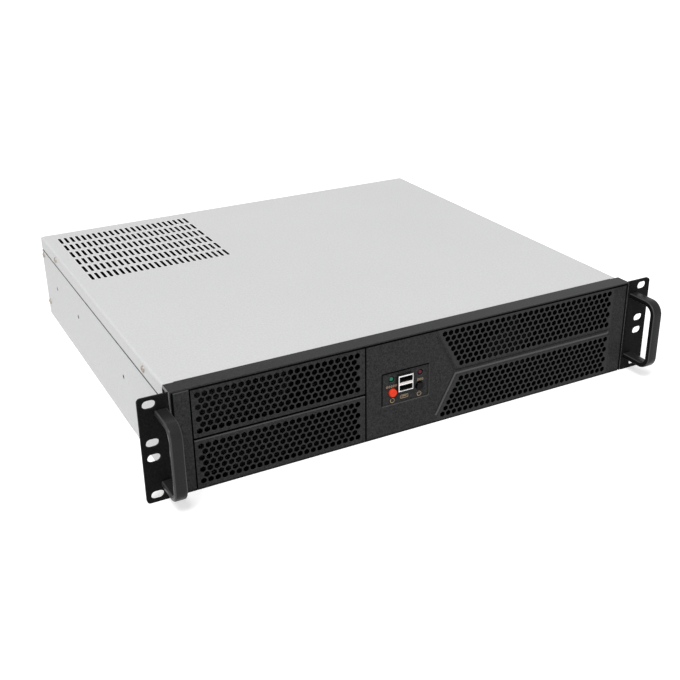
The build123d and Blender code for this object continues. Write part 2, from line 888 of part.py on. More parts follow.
def fan_rotor():
    """Fan wheel: a cup with swept blades, a shaft in the middle and a lid at the front."""
    front = frame_depth + rotor_front_gap
    back = front + rotor_length
    spot = (fan_x, fan_z)
    cup = rod_between(spot, rotor_hub_radius, front, back)
    cup -= rod_between(spot, rotor_hub_radius - hub_wall, front + hub_lid, back + past)
    cup += rod_between(spot, shaft_radius, front, frame_depth + fan_depth - bearing_floor - shaft_end_gap)
    tip = fan_bore / 2 - rotor_tip_gap
    ring = rod_between(spot, tip, front + blade_inset, back - blade_inset)
    ring -= rod_between(spot, rotor_hub_radius - blade_root, front, back)
    span = tip - rotor_hub_radius + blade_spare
    middle = (tip + rotor_hub_radius) / 2
    chord = rotor_length / math.cos(math.radians(blade_pitch_angle)) + blade_spare
    blades = []
    for number in range(blade_count):
        around = Pos(fan_x, (front + back) / 2, fan_z) * Rotation(0, number * 360 / blade_count, 0)
        turn = Pos(middle, 0, 0) * Rotation(blade_pitch_angle, 0, 0)
        blades.append(around * turn * Box(span, chord, blade_sheet) & ring)
    for blade in blades:
        cup += blade
    return cup


def fan_screws():
    """Screws through the frame's wall into the fan's four corners."""
    screws = []
    for spot in fan_holes():
        shank = rod_between(spot, fan_screw_radius, frame_wall, frame_depth + fan_screw_reach)
        head = rod_between(spot, machine_head_radius, frame_wall - machine_head, frame_wall)
        screws.append(shank + head)
    return screws


def cage_side(direction):
    """One side of the drive bays: an upright with a foot, a front flange and inward ledges."""
    left, right = cage_sides()
    face = right if direction > 0 else left
    out = direction
    top = cover_under - fit_gap - seam
    start = frame_depth
    end = frame_depth + cage_length
    plate_x = sorted((face, face + out * cage_sheet))
    foot_x = sorted((face, face + out * (cage_sheet + cage_flange)))
    front_top = bay_high + bay_height
    side = block(plate_x, (start, end), (sheet, top))
    side += block(foot_x, (start + cage_notch, end), (sheet, sheet + cage_sheet))
    flange_z = (sheet + cage_notch, front_top - cage_notch)
    side += block(foot_x, (start, start + cage_sheet), flange_z)
    for y in (start + cage_screw_front, end - cage_screw_rear):
        spot = (face + out * (cage_sheet + cage_flange / 2), y, sheet)
        side -= rod(spot, screw_hole, drill, "z")
    ledge_z = bay_high - cage_sheet - ledge_gap
    for y in (start + cage_tab_front, end - cage_tab_rear):
        tab_x = sorted((face, face - out * cage_tab_reach))
        side += block(tab_x, (y, y + cage_tab_length), (ledge_z, ledge_z + cage_sheet))
    for base in (fascia_low, bay_high):
        for y in (start + bay_slot_front, start + bay_slot_front + bay_slot_pitch):
            slot = Pos(y, base + bay_slot_rise) * SlotOverall(bay_slot_length, 2 * drive_hole_radius)
            side -= extrude(Plane.YZ.offset(face) * slot, amount=drill / 2, both=True)
    return side


def floor_screws():
    """Screws through the feet of the bay sides, the bracket and the supply stop."""
    seat = sheet + cage_sheet
    return [pan_screw((x, y, seat), (0, 0, -1), seat - fit_gap) for x, y in floor_screw_spots()]


def drive_bracket():
    """Low channel on the floor that holds a drive laid across the case."""
    reach = bracket_length / 2
    span = (bracket_x - reach, bracket_x + reach)
    floor_z = (sheet, sheet + cage_sheet)
    back = bracket_y + bracket_span + 2 * cage_sheet
    body = block(span, (bracket_y, back), floor_z)
    top = sheet + bracket_height
    for y in (bracket_y, back - cage_sheet):
        body += block(span, (y, y + cage_sheet), (sheet, top))
    hole_z = sheet + cage_sheet + bracket_side_hole
    for i in (-1, 1):
        for y in (bracket_y, back):
            spot = (bracket_x + i * bracket_hole_pitch / 2, y, hole_z)
            body -= rod(spot, drive_hole_radius, drill, "y")
    for x, y in floor_screw_spots()[4:6]:
        body -= rod((x, y, sheet), screw_hole, drill, "z")
    return body


def supply_stop():
    """Angle on the floor that the power supply is pushed against from the rear."""
    reach = supply_width / 2 - supply_stop_inset
    span = (supply_x - reach, supply_x + reach)
    face = shelf_face()
    stop = block(span, (face - cage_sheet, face), (sheet, sheet + shelf_height))
    stop += block(span, (face - shelf_foot, face), (sheet, sheet + cage_sheet))
    for x, y in floor_screw_spots()[6:8]:
        stop -= rod((x, y, sheet), screw_hole, drill, "z")
    return stop


def rear_panel():
    """Rear wall with the supply opening, the connector opening, card slots and vent slots."""
    low_x = wall_in - fit_gap
    high_x = upper_wall_in - fit_gap
    step = wall_step - joggle_height - panel_step_gap
    top = cover_under - fit_gap
    floor = sheet
    panel = block((-low_x, low_x), (panel_in, panel_face), (floor, step))
    panel = chamfer(panel.edges().filter_by(Axis.Y).group_by(Axis.Z)[0], bend)
    panel += block((-high_x, high_x), (panel_in, panel_face), (floor, top))
    reach = upper_wall_in - top_flange - panel_flange_inset
    top_flange_y = (panel_in - panel_top_flange, panel_face)
    panel += block((-reach, reach), top_flange_y, (top - sheet, top))
    floor_flange_y = (panel_in - panel_floor_flange, panel_face)
    panel += block((-reach, reach), floor_flange_y, (floor, floor + sheet))
    for direction in (-1, 1):
        side = sorted((direction * (low_x - sheet), direction * low_x))
        side_flange_y = (panel_in - panel_side_flange, panel_face)
        panel += block(side, side_flange_y, (floor + panel_flange_inset, step))
        for z in (rear_screw_low, rear_screw_high):
            panel -= rod((direction * low_x, body_depth - rear_screw_inset, z), screw_hole, drill, "x")
    top_edges = panel.edges().filter_by(Axis.X).group_by(Axis.Z)[-1].group_by(Axis.Y)[-1]
    panel = fillet(top_edges, bend - fit_gap)
    through = (panel_in - past, body_depth + past)
    panel -= supply_window(0, *through)
    for spot in supply_screw_spots():
        panel -= rod_between(spot, supply_hole_radius, *through)
    io_x = (board_edge_x - io_width, board_edge_x)
    panel -= block(io_x, through, (io_bottom, io_bottom + io_height))
    for x in slot_centres():
        span = (x - slot_window_width / 2, x + slot_window_width / 2)
        panel -= block(span, through, (slot_window_bottom, slot_window_top))
    middle = (io_x[0] + io_x[1]) / 2
    for number in range(rear_vent_count):
        x = middle + (number - (rear_vent_count - 1) / 2) * rear_vent_pitch
        span = (x - rear_vent_width / 2, x + rear_vent_width / 2)
        panel -= block(span, through, (rear_vent_bottom, rear_vent_top))
    return panel


def supply_window(gap, start, end):
    """The supply's opening, with a tab left at each screw place, smaller all round by a gap."""
    wide = supply_window_width / 2 - gap
    tall = supply_window_height / 2 - gap
    x = (supply_x - wide, supply_x + wide)
    window = block(x, (start, end), (supply_window_z - tall, supply_window_z + tall))
    for spot in supply_screw_spots():
        window -= rod_between(spot, supply_ear_radius + gap, start - past, end + past)
    return window


def supply_blank():
    """Plate that fills the supply's opening until a supply is fitted, held by a clip on each side."""
    blank = supply_window(seam, panel_in, panel_face)
    middle = supply_window_z
    grip = (middle - blank_clip_height / 2, middle + blank_clip_height / 2)
    lip_back = panel_in - fit_gap
    lip_front = lip_back - cage_sheet
    edge = supply_window_width / 2 - seam
    for direction in (-1, 1):
        inner = supply_x + direction * (edge - cage_sheet)
        leg = sorted((inner, supply_x + direction * edge))
        blank += block(leg, (lip_front, panel_in + cage_sheet), grip)
        lip = sorted((inner, supply_x + direction * (edge + blank_clip_lip)))
        blank += block(lip, (lip_front, lip_back), grip)
    return blank


def supply_screw_spots():
    """The four screw places of a standard supply: a wide upper pair and a narrower lower pair."""
    high = supply_window_z + supply_screw_rise / 2
    low = high - supply_screw_rise
    edge = supply_x + supply_screw_span / 2
    return [
        (edge, high),
        (edge - supply_screw_span, high),
        (edge, low),
        (edge - supply_lower_span, low),
    ]


def slot_centres():
    """The card slots' places along X, from the connectors' side."""
    return [slot_first_x - number * slot_pitch for number in range(slot_count)]


def slot_rail():
    """Angle above the card slots: the covers' tabs lie on its ledge."""
    centres = slot_centres()
    span = (centres[-1] - slot_pitch / 2 - slot_rail_spare, centres[0] + slot_pitch / 2)
    back = panel_in - slot_cover_sheet - fit_gap
    ledge_z = (ledge_top - cage_sheet, ledge_top)
    rail = block(span, (back - slot_tab, back), ledge_z)
    drop_z = (ledge_z[0] - slot_rail_drop, ledge_top)
    rail += block(span, (back - slot_tab, back - slot_tab + cage_sheet), drop_z)
    ends = (span[0] - cage_sheet, span[1])
    for x in ends:
        rail += block((x, x + cage_sheet), (back - slot_tab, panel_in), drop_z)
    for x in centres:
        rail -= rod((x, back - slot_tab / 2, ledge_top), screw_hole, drill, "z")
    return rail


def slot_cover(number):
    """Card slot cover: a strip behind the opening with a tab that is screwed to the rail."""
    x = slot_centres()[number]
    span = (x - slot_cover_width / 2, x + slot_cover_width / 2)
    back = panel_in - fit_gap
    front = back - slot_cover_sheet
    cover = block(span, (front, back), (slot_cover_bottom, slot_cover_top))
    cover += block(span, (front - slot_tab, back), (ledge_top, slot_cover_top))
    return cover - rod((x, front - slot_tab / 2, slot_cover_top), screw_hole, drill, "z")


def slot_screws():
    """Screws through the covers' tabs into the rail."""
    back = panel_in - fit_gap - slot_cover_sheet - slot_tab / 2
    return [pan_screw((x, back, slot_cover_top), (0, 0, -1)) for x in slot_centres()]


def standoff_spots():
    """Board fixing places, counted from the board's edge beside the wall and from its rear edge."""
    spots = []
    for column in standoff_columns:
        for row in standoff_rows:
            edge_hole = column == standoff_columns[0] and row == standoff_rows[0]
            depth = standoff_edge_row if edge_hole else row
            spots.append((board_edge_x - column, board_rear - depth))
    return spots


def board_standoffs():
    """Hexagonal brass pillars with a threaded bore, standing on the floor."""
    pillars = []
    for x, y in standoff_spots():
        section = RegularPolygon(standoff_flats / math.sqrt(3), 6) - Circle(standoff_bore)
        pillars.append(Pos(x, y, sheet) * extrude(section, amount=standoff_height))
    return pillars


def cover_bar():
    """Channel across the case that keeps the cover from sagging, below the walls' top flanges."""
    reach = upper_wall_in - bend
    top = cover_under - fit_gap - sheet
    bar = block((-reach, reach), (bar_y, bar_y + bar_width), (top - bar_drop, top))
    inner = (bar_y + cage_sheet, bar_y + bar_width - cage_sheet)
    return bar - block((-half, half), inner, (0, top - cage_sheet))


pieces = {
    "chassis_base": [chassis_base()],
    "top_cover": [top_cover()],
    "rear_panel": [rear_panel()],
    "front_frame": [front_frame()],
    "front_grille": [front_grille()],
    "left_trim": [left_trim()],
    "lower_bay_cover": [bay_cover(fascia_low)],
    "upper_bay_cover": [bay_cover(bay_high)],
    "left_ear": [ear(-1)],
    "right_ear": [ear(1)],
    "left_handle": [handle(-1)],
    "right_handle": [handle(1)],
    "handle_screws": handle_screws(),
    "ear_screws": side_screws(ear_screw_spots(), ear_seat, ear_screw_length),
    "control_plate": [control_plate()],
    "control_board": [control_board()],
    "board_screws": board_screws(),
    "reset_button": [button(-1)],
    "power_button": [button(1)],
    "reset_switch": [switch(-1)],
    "power_switch": [switch(1)],
    "power_lamp": [lamp(-1)],
    "drive_lamp": [lamp(1)],
    "lamp_spacers": [lamp_spacer(-1), lamp_spacer(1)],
    "port_shell": [port_shell()],
    "port_tongues": port_tongues(),
    "fan_frame": [fan_frame()],
    "fan_rotor": [fan_rotor()],
    "fan_screws": fan_screws(),
    "left_bay_side": [cage_side(-1)],
    "right_bay_side": [cage_side(1)],
    "drive_bracket": [drive_bracket()],
    "supply_stop": [supply_stop()],
    "supply_blank": [supply_blank()],
    "floor_screws": floor_screws(),
    "slot_rail": [slot_rail()],
    "slot_screws": slot_screws(),
    "board_standoffs": board_standoffs(),
    "cover_bar": [cover_bar()],
    "cover_screws": side_screws(
        [(cover_screw_front, cover_screw_z()), (cover_screw_rear, cover_screw_z())], half
    ),
    "rear_panel_screws": side_screws(
        [(body_depth - rear_screw_inset, z) for z in (rear_screw_low, rear_screw_high)], half
    ),
}
for number in range(slot_count):
    pieces[f"slot_cover_{number + 1}"] = [slot_cover(number)]

everything = [solid for group in pieces.values() for shape in group for solid in shape.solids()]
whole = Compound(children=everything)
box = whole.bounding_box()
to_origin = Pos(-(box.min.X + box.max.X) / 2, -(box.min.Y + box.max.Y) / 2, -box.min.Z)
print("moved by", to_origin.position)

for name, group in pieces.items():
    solids = [to_origin * solid for shape in group for solid in shape.solids()]
    export_step(Compound(children=solids) if len(solids) > 1 else solids[0], f"parts/{name}.step")
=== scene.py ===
import math

import bmesh
import bpy
import numpy as np
from mathutils import Matrix, Vector


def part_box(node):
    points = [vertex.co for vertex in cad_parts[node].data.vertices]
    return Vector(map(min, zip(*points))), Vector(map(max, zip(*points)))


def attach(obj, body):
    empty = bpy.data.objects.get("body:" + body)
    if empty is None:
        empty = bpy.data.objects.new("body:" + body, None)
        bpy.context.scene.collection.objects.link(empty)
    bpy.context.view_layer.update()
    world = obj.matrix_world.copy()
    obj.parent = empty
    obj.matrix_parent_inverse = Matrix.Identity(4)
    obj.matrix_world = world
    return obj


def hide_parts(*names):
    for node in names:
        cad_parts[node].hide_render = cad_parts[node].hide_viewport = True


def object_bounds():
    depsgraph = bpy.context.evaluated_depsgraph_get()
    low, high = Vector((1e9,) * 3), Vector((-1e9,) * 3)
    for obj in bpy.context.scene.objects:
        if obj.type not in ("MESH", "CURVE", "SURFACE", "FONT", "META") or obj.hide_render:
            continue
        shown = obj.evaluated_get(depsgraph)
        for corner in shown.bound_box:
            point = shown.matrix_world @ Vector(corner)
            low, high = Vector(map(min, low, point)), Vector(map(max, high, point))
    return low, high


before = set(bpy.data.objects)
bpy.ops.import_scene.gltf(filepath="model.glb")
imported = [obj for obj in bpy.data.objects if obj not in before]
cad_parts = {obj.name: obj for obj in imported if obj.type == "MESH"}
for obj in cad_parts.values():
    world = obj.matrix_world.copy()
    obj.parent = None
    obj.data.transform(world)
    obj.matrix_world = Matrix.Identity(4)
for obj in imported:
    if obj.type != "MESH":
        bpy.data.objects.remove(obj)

cad_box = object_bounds()


# Light grey sheet
# Chassis, top cover, rear panel, blanking plate and slot covers are folded steel sheet. A light
# grey powder coat is baked on the outside. The inside of the body is painted near black as shade.
millimetre = 0.001
coat_grey = (0.688, 0.689, 0.692)
# Near black painted shade for the inside of the body, its slots and under the lips.
inside_shade = (0.012, 0.012, 0.013)
body_half = 217.0 * millimetre
body_top = 86.6 * millimetre
body_rear = cad_box[1].y
half_sheet = 0.6 * millimetre
rear_sheet_depth = 1.7 * millimetre
sheet_edge = 0.4 * millimetre
# Painted highlight along the top's folds: its tone and width.
fold_highlight = (0.86, 0.86, 0.86)
fold_highlight_width = 2.0 * millimetre
fold_start = 0.002
fold_full = 0.03
thin_skin = 0.15 * millimetre
fold_reach = 2.0 * millimetre
lip_bottom = 74.6 * millimetre
step_bottom = 72.3 * millimetre
step_shade = 0.2 * millimetre


class Wire:
    """A socket of a material. Operators add Math nodes, and node() adds any other."""

    def __init__(self, tree, socket=None):
        self.tree = tree
        self.socket = socket

    def node(self, kind, settings=None, values=None, output=0):
        """Adds a node, makes its settings first, then gives its sockets values or links."""
        made = self.tree.nodes.new(kind)
        for name, value in (settings or {}).items():
            setattr(made, name, value)
        for name, value in (values or {}).items():
            if isinstance(value, Wire):
                self.tree.links.new(value.socket, made.inputs[name])
            else:
                made.inputs[name].default_value = value
        return Wire(self.tree, made.outputs[output])

    def maths(self, operation, *values):
        """A Math node on numbers and wires."""
        return self.node("ShaderNodeMath", {"operation": operation}, dict(enumerate(values)))

    def __add__(self, other):
        return self.maths("ADD", self, other)

    def __radd__(self, other):
        return self.maths("ADD", other, self)

    def __sub__(self, other):
        return self.maths("SUBTRACT", self, other)

    def __rsub__(self, other):
        return self.maths("SUBTRACT", other, self)

    def __mul__(self, other):
        return self.maths("MULTIPLY", self, other)

    def __rmul__(self, other):
        return self.maths("MULTIPLY", other, self)

    def __truediv__(self, other):
        return self.maths("DIVIDE", self, other)

    def __rtruediv__(self, other):
        return self.maths("DIVIDE", other, self)

    def __gt__(self, other):
        return self.maths("GREATER_THAN", self, other)

    def __lt__(self, other):
        return self.maths("LESS_THAN", self, other)

    def __abs__(self):
        return self.maths("ABSOLUTE", self)

    def between(self, low, high):
        """0 below low, 1 above high and a smooth rise from one to the other."""
        values = {"Value": self, "From Min": low, "From Max": high}
        return self.node("ShaderNodeMapRange", {"interpolation_type": "SMOOTHSTEP"}, values)

    def place(self):
        """The point on the surface in the object's own metres."""
        return self.node("ShaderNodeTexCoord", output="Object")

    def axis(self, letter):
        """One of the three numbers of that point, for X, Y or Z."""
        return self.node("ShaderNodeSeparateXYZ", None, {"Vector": self.place()}, letter)

    def cloud(self, size, detail=2.0, rough=0.5, stretch=(1, 1, 1)):
        """Noise whose patches are about one size across, in metres, and may be stretched."""
        mapping = {"Vector": self.place(), "Scale": Vector(stretch) / size}
        spot = self.node("ShaderNodeMapping", None, mapping)
        values = {"Vector": spot, "Scale": 1.0, "Detail": detail, "Roughness": rough}
        return self.node("ShaderNodeTexNoise", None, values)

    def about(self, middle, swing):
        """Noise between 0 and 1 turned into a value that swings about a middle."""
        return middle + (self - 0.5) * swing

    def mixed(self, amount, low, high):
        """A mix of two colours or colour wires: low where the amount is 0, high where it is 1.
        The Mix node gives several sockets one name, so its colour sockets go by number."""
        factor, first, second, result = 0, 6, 7, 2
        values = {factor: amount, first: low, second: high}
        return self.node("ShaderNodeMix", {"data_type": "RGBA"}, values, result)

    def tint(self, amount, low, high):
        """A colour that goes from low to high as the amount goes from 0 to 1."""
        return self.mixed(amount, (*low, 1.0), (*high, 1.0))

    def normal(self):
        """The surface's own normal."""
        return self.node("ShaderNodeNewGeometry", output="Normal")

    def rounded(self, radius):
        """The normal as it would be if a radius of that many metres rounded sharp corners."""
        return self.node("ShaderNodeBevel", {"samples": 6}, {"Radius": radius})

    def lean(self, radius, aim=None):
        """How far the rounded normal leans towards an aim, or else away from the surface's own."""
        values = {0: self.rounded(radius), 1: self.normal() if aim is None else aim}
        dot = self.node("ShaderNodeVectorMath", {"operation": "DOT_PRODUCT"}, values, "Value")
        return 1 - dot if aim is None else dot

    def relief(self, height, strength, depth, edge=0.0):
        """A bump normal from a height between 0 and 1 that stands for a depth in metres. With an
        edge, sharp corners are shaded as if a radius of that many metres rounded them."""
        values = {"Height": height, "Strength": strength, "Distance": depth}
        if edge:
            values["Normal"] = self.rounded(edge)
        return self.node("ShaderNodeBump", None, values)


def material_with(name, constants, varying):
    """A material with one Principled shader: constants are set on it and varying is linked to it.
    varying is a function that takes a Wire and gives the wires for some of the sockets."""
    material = bpy.data.materials.new(name)
    material.use_nodes = True
    shader = material.node_tree.nodes["Principled BSDF"]
    for socket, value in constants.items():
        shader.inputs[socket].default_value = value
    for socket, wire in varying(Wire(material.node_tree)).items():
        material.node_tree.links.new(wire.socket, shader.inputs[socket])
    return material


def shaded(colour, factor):
    """A colour made lighter or darker by a factor."""
    return tuple(min(1.0, part * factor) for part in colour)


def wear(material, *nodes):
    """Gives CAD nodes one material."""
    for node in nodes:
        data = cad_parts[node].data
        data.materials.clear()
        data.materials.append(material)


def grey_grain(wire):
    """Fine grain over slow patches of tone, with the same grain as relief."""
    grain = wire.cloud(1.6 * millimetre, 3.0, 0.66)
    peel = wire.cloud(3.2 * millimetre, 1.0)
    patches = wire.cloud(110 * millimetre, 2.0)
    tone = (grain - 0.5) * 2.2 + (patches - 0.5) * 0.3 + 0.5
    return {
        "Base Color": wire.tint(tone, shaded(coat_grey, 0.90), shaded(coat_grey, 1.07)),
        "Roughness": grain.about(0.52, 0.25),
        "Normal": wire.relief(grain * 0.6 + peel * 0.4, 0.45, 0.14 * millimetre, sheet_edge),
    }


def grey_coat(wire):
    """The same coat on the outer faces, a painted highlight along the top's folds, and near black
    painted shade inside, in the slots and under the lips."""
    coat = grey_grain(wire)
    across = abs(wire.axis("X"))
    height = wire.axis("Z")
    stepped_in = across < body_half - step_shade
    under_lip = (height > step_bottom) * (height < lip_bottom) * stepped_in
    side = (across > body_half - thin_skin) * (1 - under_lip)
    top = height > body_top - thin_skin
    upper_fold = across + height > body_half + body_top - fold_reach
    lower_fold = across - height > body_half - fold_reach
    underside = height < half_sheet
    rear = wire.axis("Y") > body_rear - rear_sheet_depth
    outside = (side + top + upper_fold + lower_fold + underside + rear) > 0.5
    # A painted highlight pales the top along its folds.
    highlit = wire.lean(fold_highlight_width).between(fold_start, fold_full) * top
    painted_highlight = wire.mixed(highlit, coat["Base Color"], (*fold_highlight, 1.0))
    # Painted shade, near black, on all but the outer faces.
    coat["Base Color"] = wire.mixed(outside, (*inside_shade, 1.0), painted_highlight)
    return coat


sheen = {"Specular IOR Level": 0.35}
grey_paint = material_with("light_grey_powder_coat", sheen, grey_coat)
wear(grey_paint, "chassis_base", "top_cover", "rear_panel", "supply_blank")
cover_paint = material_with("light_grey_slot_cover", sheen, grey_grain)
wear(cover_paint, *(f"slot_cover_{number}" for number in range(1, 5)))


# Black front
# The frame behind the front, its plates, the bay covers and the ears are folded steel with a
# black powder coat, grained with pale specks. Holes, seams, backs and shaded corners are painted
# near black as shade, and edges carry painted highlight and painted shade.
coat_black = (0.026, 0.026, 0.0263)
plate_black = (0.0335, 0.0335, 0.0339)
ear_black = (0.0085, 0.0085, 0.0087)
coat_edge = 0.55 * millimetre
front_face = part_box("left_ear")[0].y


def black_coat(colour, rough):
    """A maker of the coat: a close grain with pale specks, over patches that are slightly duller."""
    def pattern(wire):
        grain = wire.cloud(1.3 * millimetre, 3.0, 0.75)
        specks = wire.cloud(0.8 * millimetre, 1.0).between(0.56, 0.72)
        patches = wire.cloud(60 * millimetre, 2.0)
        tone = (grain - 0.5) * 1.8 + specks * 0.4 + 0.32
        return {
            "Base Color": wire.tint(tone, shaded(colour, 0.4), shaded(colour, 2.0)),
            "Roughness": grain.about(rough, 0.3) + (patches - 0.5) * 0.08,
            "Normal": wire.relief(grain * 0.7 + specks * 0.3, 0.6, 0.16 * millimetre, coat_edge),
        }
    return pattern


# Near black painted shade for holes, backs, seams and shaded corners.
shade_black = (0.0008, 0.0008, 0.0009)
# A paler tone that paints highlight on a mesh's ribs and sheen on the frame's top.
highlight_tone = (0.046, 0.046, 0.0465)
# Painted highlight on edges that look up or to the left, and painted shade on those that look away.
edge_highlight = (0.095, 0.095, 0.096)
highlight_aim = Vector((-0.50, 0.0, 0.87))
edge_width = 1.0 * millimetre
edge_start = 0.08
edge_full = 0.45
edge_shade_share = 0.8
plate_depth = 1.5 * millimetre


def thin_coat(shade_of, colour, highlight_share, painted_highlight=1.0):
    """A maker of the coat on punched and folded pieces: where the first argument says, painted
    shade makes it near black and dull. Edges that look up or to the left get a painted highlight,
    and those that look away a painted shade. The third argument is how far a painted highlight
    pales the coat in a mesh."""
    def pattern(wire):
        coat = black_coat(colour, 0.50)(wire)
        amount, meshed = shade_of(wire)
        near = wire.axis("Y") < front_face + plate_depth
        lean = wire.lean(edge_width, highlight_aim) * (1 - meshed) * near * painted_highlight
        # Painted highlight on a mesh's ribs, and sheen on the frame's top.
        highlit = wire.mixed(meshed * highlight_share, coat["Base Color"], (*highlight_tone, 1.0))
        # Painted highlight on lit edges, then painted shade where the mask says and on edges looking
        # away.
        bright = wire.mixed(lean.between(edge_start, edge_full), highlit, (*edge_highlight, 1.0))
        edge_shade = (-1 * lean).between(edge_start, edge_full) * edge_shade_share
        coat["Base Color"] = wire.mixed(amount + edge_shade, bright, (*shade_black, 1.0))
        coat["Roughness"] = coat["Roughness"] + amount * 0.5
        return coat
    return pattern


# Painted shade begins this far behind the face in a mesh.
shade_depth = 0.12 * millimetre
plates_reach, _, plates_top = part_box("front_grille")[1]
trim_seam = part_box("left_trim")[1].x + 0.2 * millimetre
grille_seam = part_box("front_grille")[0].x - 0.1 * millimetre
half_seam = 0.65 * millimetre
shaded_edge = 0.8 * millimetre
shaded_end = 1.5 * millimetre


def painted_shade(wire, meshed):
    """1 where painted shade darkens the coat: in a mesh from close behind the face, elsewhere
    from the sheet's back, under the strip right of the trim, beside both ears and at the two upright
    seams."""
    depth = wire.axis("Y") - front_face
    behind = meshed * (depth > shade_depth) + (depth > plate_depth)
    under_strip = (wire.axis("Z") > plates_top - shaded_edge) * (wire.axis("X") > trim_seam)
    beside_ear = abs(wire.axis("X")) > plates_reach - shaded_end
    shade = behind + under_strip + beside_ear
    for seam in (trim_seam, grille_seam):
        shade = shade + (abs(wire.axis("X") - seam) < half_seam)
    return shade > 0.5, meshed


border = 3.0 * millimetre


def bay_shade(wire):
    """The two covers' meshes lie between their plain borders."""
    meshed = 0
    for cover in ("lower_bay_cover", "upper_bay_cover"):
        low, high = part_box(cover)
        along = (wire.axis("X") > low.x + border) * (wire.axis("X") < high.x - border)
        meshed = meshed + along * (wire.axis("Z") > low.z + border) * (wire.axis("Z") < high.z - border)
    return painted_shade(wire, meshed)


groove_z = 43.6 * millimetre
groove_tip = 32.1 * millimetre
groove_lean = 18.7 / 35.2
arm_margin = 3.2 * millimetre
bar_margin = 3.8 * millimetre
mesh_right = 200.0 * millimetre


def grille_shade(wire):
    """The grille's two meshes lie right of the groove's arms and away from its long bar."""
    away = abs(wire.axis("Z") - groove_z)
    right_of_arms = wire.axis("X") + away * groove_lean > groove_tip + arm_margin
    return painted_shade(wire, right_of_arms * (away > bar_margin) * (wire.axis("X") < mesh_right))


window_top = 58.5 * millimetre
window_left = -39.85 * millimetre
shaded_rim = 1.7 * millimetre


def group_shade(wire):
    """1 where painted shade darkens the control plate: in its holes and on its back, and along the
    window's top and left edges, which the fascia keeps in shade. No part of the plate is a mesh."""
    behind = wire.axis("Y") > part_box("control_plate")[0].y + shade_depth
    shade = (wire.axis("Z") > window_top - shaded_rim) + (wire.axis("X") < window_left + shaded_rim)
    return (behind + shade) > 0.5, 0


frame_end, _, frame_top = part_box("front_frame")[1]
roof_skin = 0.3 * millimetre
strip_height = 1.1 * millimetre
hem_depth = 1.6 * millimetre
# Pale grey for the frame's two end faces.
end_grey = (0.26, 0.26, 0.262)


def frame_shade(wire):
    """The frame's wall and sides below its top strip are inside, in painted shade. Its top gets a
    painted sheen that grows towards the right."""
    between = abs(wire.axis("X")) < frame_end - half_sheet
    below = wire.axis("Z") < frame_top - strip_height
    inside = (wire.axis("Y") > front_face + hem_depth) * below * between
    # Painted sheen on the frame's top, growing towards the right.
    sheen_share = wire.axis("X") / frame_end * 0.5 + 0.5
    return inside, sheen_share * (wire.axis("Z") > frame_top - roof_skin)


def frame_coat(wire):
    """The frame's coat, with no painted edge highlight, and pale grey on its two ends."""
    coat = thin_coat(frame_shade, coat_black, highlight_share=0.9, painted_highlight=0.0)(wire)
    end = abs(wire.axis("X")) > frame_end - thin_skin
    coat["Base Color"] = wire.mixed(end, coat["Base Color"], (*end_grey, 1.0))
    return coat


for name, shade_of, highlight_share, nodes in (
    ("black_bay_coat", bay_shade, 0.15, ("left_trim", "lower_bay_cover", "upper_bay_cover")),
    ("black_grille_coat", grille_shade, 0.75, ("front_grille",)),
    ("black_group_coat", group_shade, 0.0, ("control_plate",)),
):
    coat = thin_coat(shade_of, plate_black, highlight_share)
    wear(material_with(name, {"Specular IOR Level": 0.06}, coat), *nodes)
wear(material_with("black_frame_coat", {"Specular IOR Level": 0.11}, frame_coat), "front_frame")
ear_paint = material_with("black_ear_coat", {"Specular IOR Level": 0.04}, black_coat(ear_black, 0.55))
wear(ear_paint, "left_ear", "right_ear")


# Handles
# Each handle is a flat bar bent to a U, with its long edges rounded, coated satin black and
# held by two screws from behind the ear. Its rounded edges and outer flank carry a painted
# highlight, and its inner flank a painted shade.
handle_bar = 5.0 * millimetre
handle_bend = 9.5 * millimetre
handle_corner = 1.5 * millimetre
bend_steps = 15
handle_black = (0.018, 0.018, 0.0182)
# Painted highlight for the rounded edges and outer flank, and painted shade for the inner flank.
rim_highlight = (0.065, 0.065, 0.0655)
flank_shade = (0.0015, 0.0015, 0.0016)
flank_start = 0.75
flank_full = 0.97


def skin(name, rings, capped=True):
    """A mesh over rings of points: quads join each ring to the next, and a face closes each end."""
    rings = np.asarray(rings, float)
    count, around = rings.shape[:2]
    index = np.arange(count * around).reshape(count, around)
    near = index[:-1]
    far = index[1:]
    quads = np.stack([near, np.roll(near, -1, 1), np.roll(far, -1, 1), far], -1).reshape(-1, 4)
    faces = quads.tolist()
    if capped:
        faces += [index[0][::-1].tolist(), index[-1].tolist()]
    mesh = bpy.data.meshes.new(name)
    mesh.from_pydata(rings.reshape(-1, 3).tolist(), [], faces)
    piece = bpy.data.objects.new(name, mesh)
    bpy.context.scene.collection.objects.link(piece)
    return piece


def tidy(piece, crease=32.0, gap=1e-6):
    """Merges doubled points, turns the faces outwards and keeps edges sharper than crease degrees."""
    work = bmesh.new()
    work.from_mesh(piece.data)
    bmesh.ops.remove_doubles(work, verts=work.verts, dist=gap)
    bmesh.ops.dissolve_degenerate(work, edges=work.edges, dist=gap)
    bmesh.ops.recalc_face_normals(work, faces=work.faces)
    work.to_mesh(piece.data)
    work.free()
    piece.data.shade_smooth()
    piece.data.set_sharp_from_angle(angle=math.radians(crease))
    return piece


def join(name, pieces):
    """One object from several meshes that are already in place."""
    work = bmesh.new()
    for piece in pieces:
        work.from_mesh(piece.data)
        bpy.data.objects.remove(piece)
    mesh = bpy.data.meshes.new(name)
    work.to_mesh(mesh)
    work.free()
    made = bpy.data.objects.new(name, mesh)
    bpy.context.scene.collection.objects.link(made)
    return made


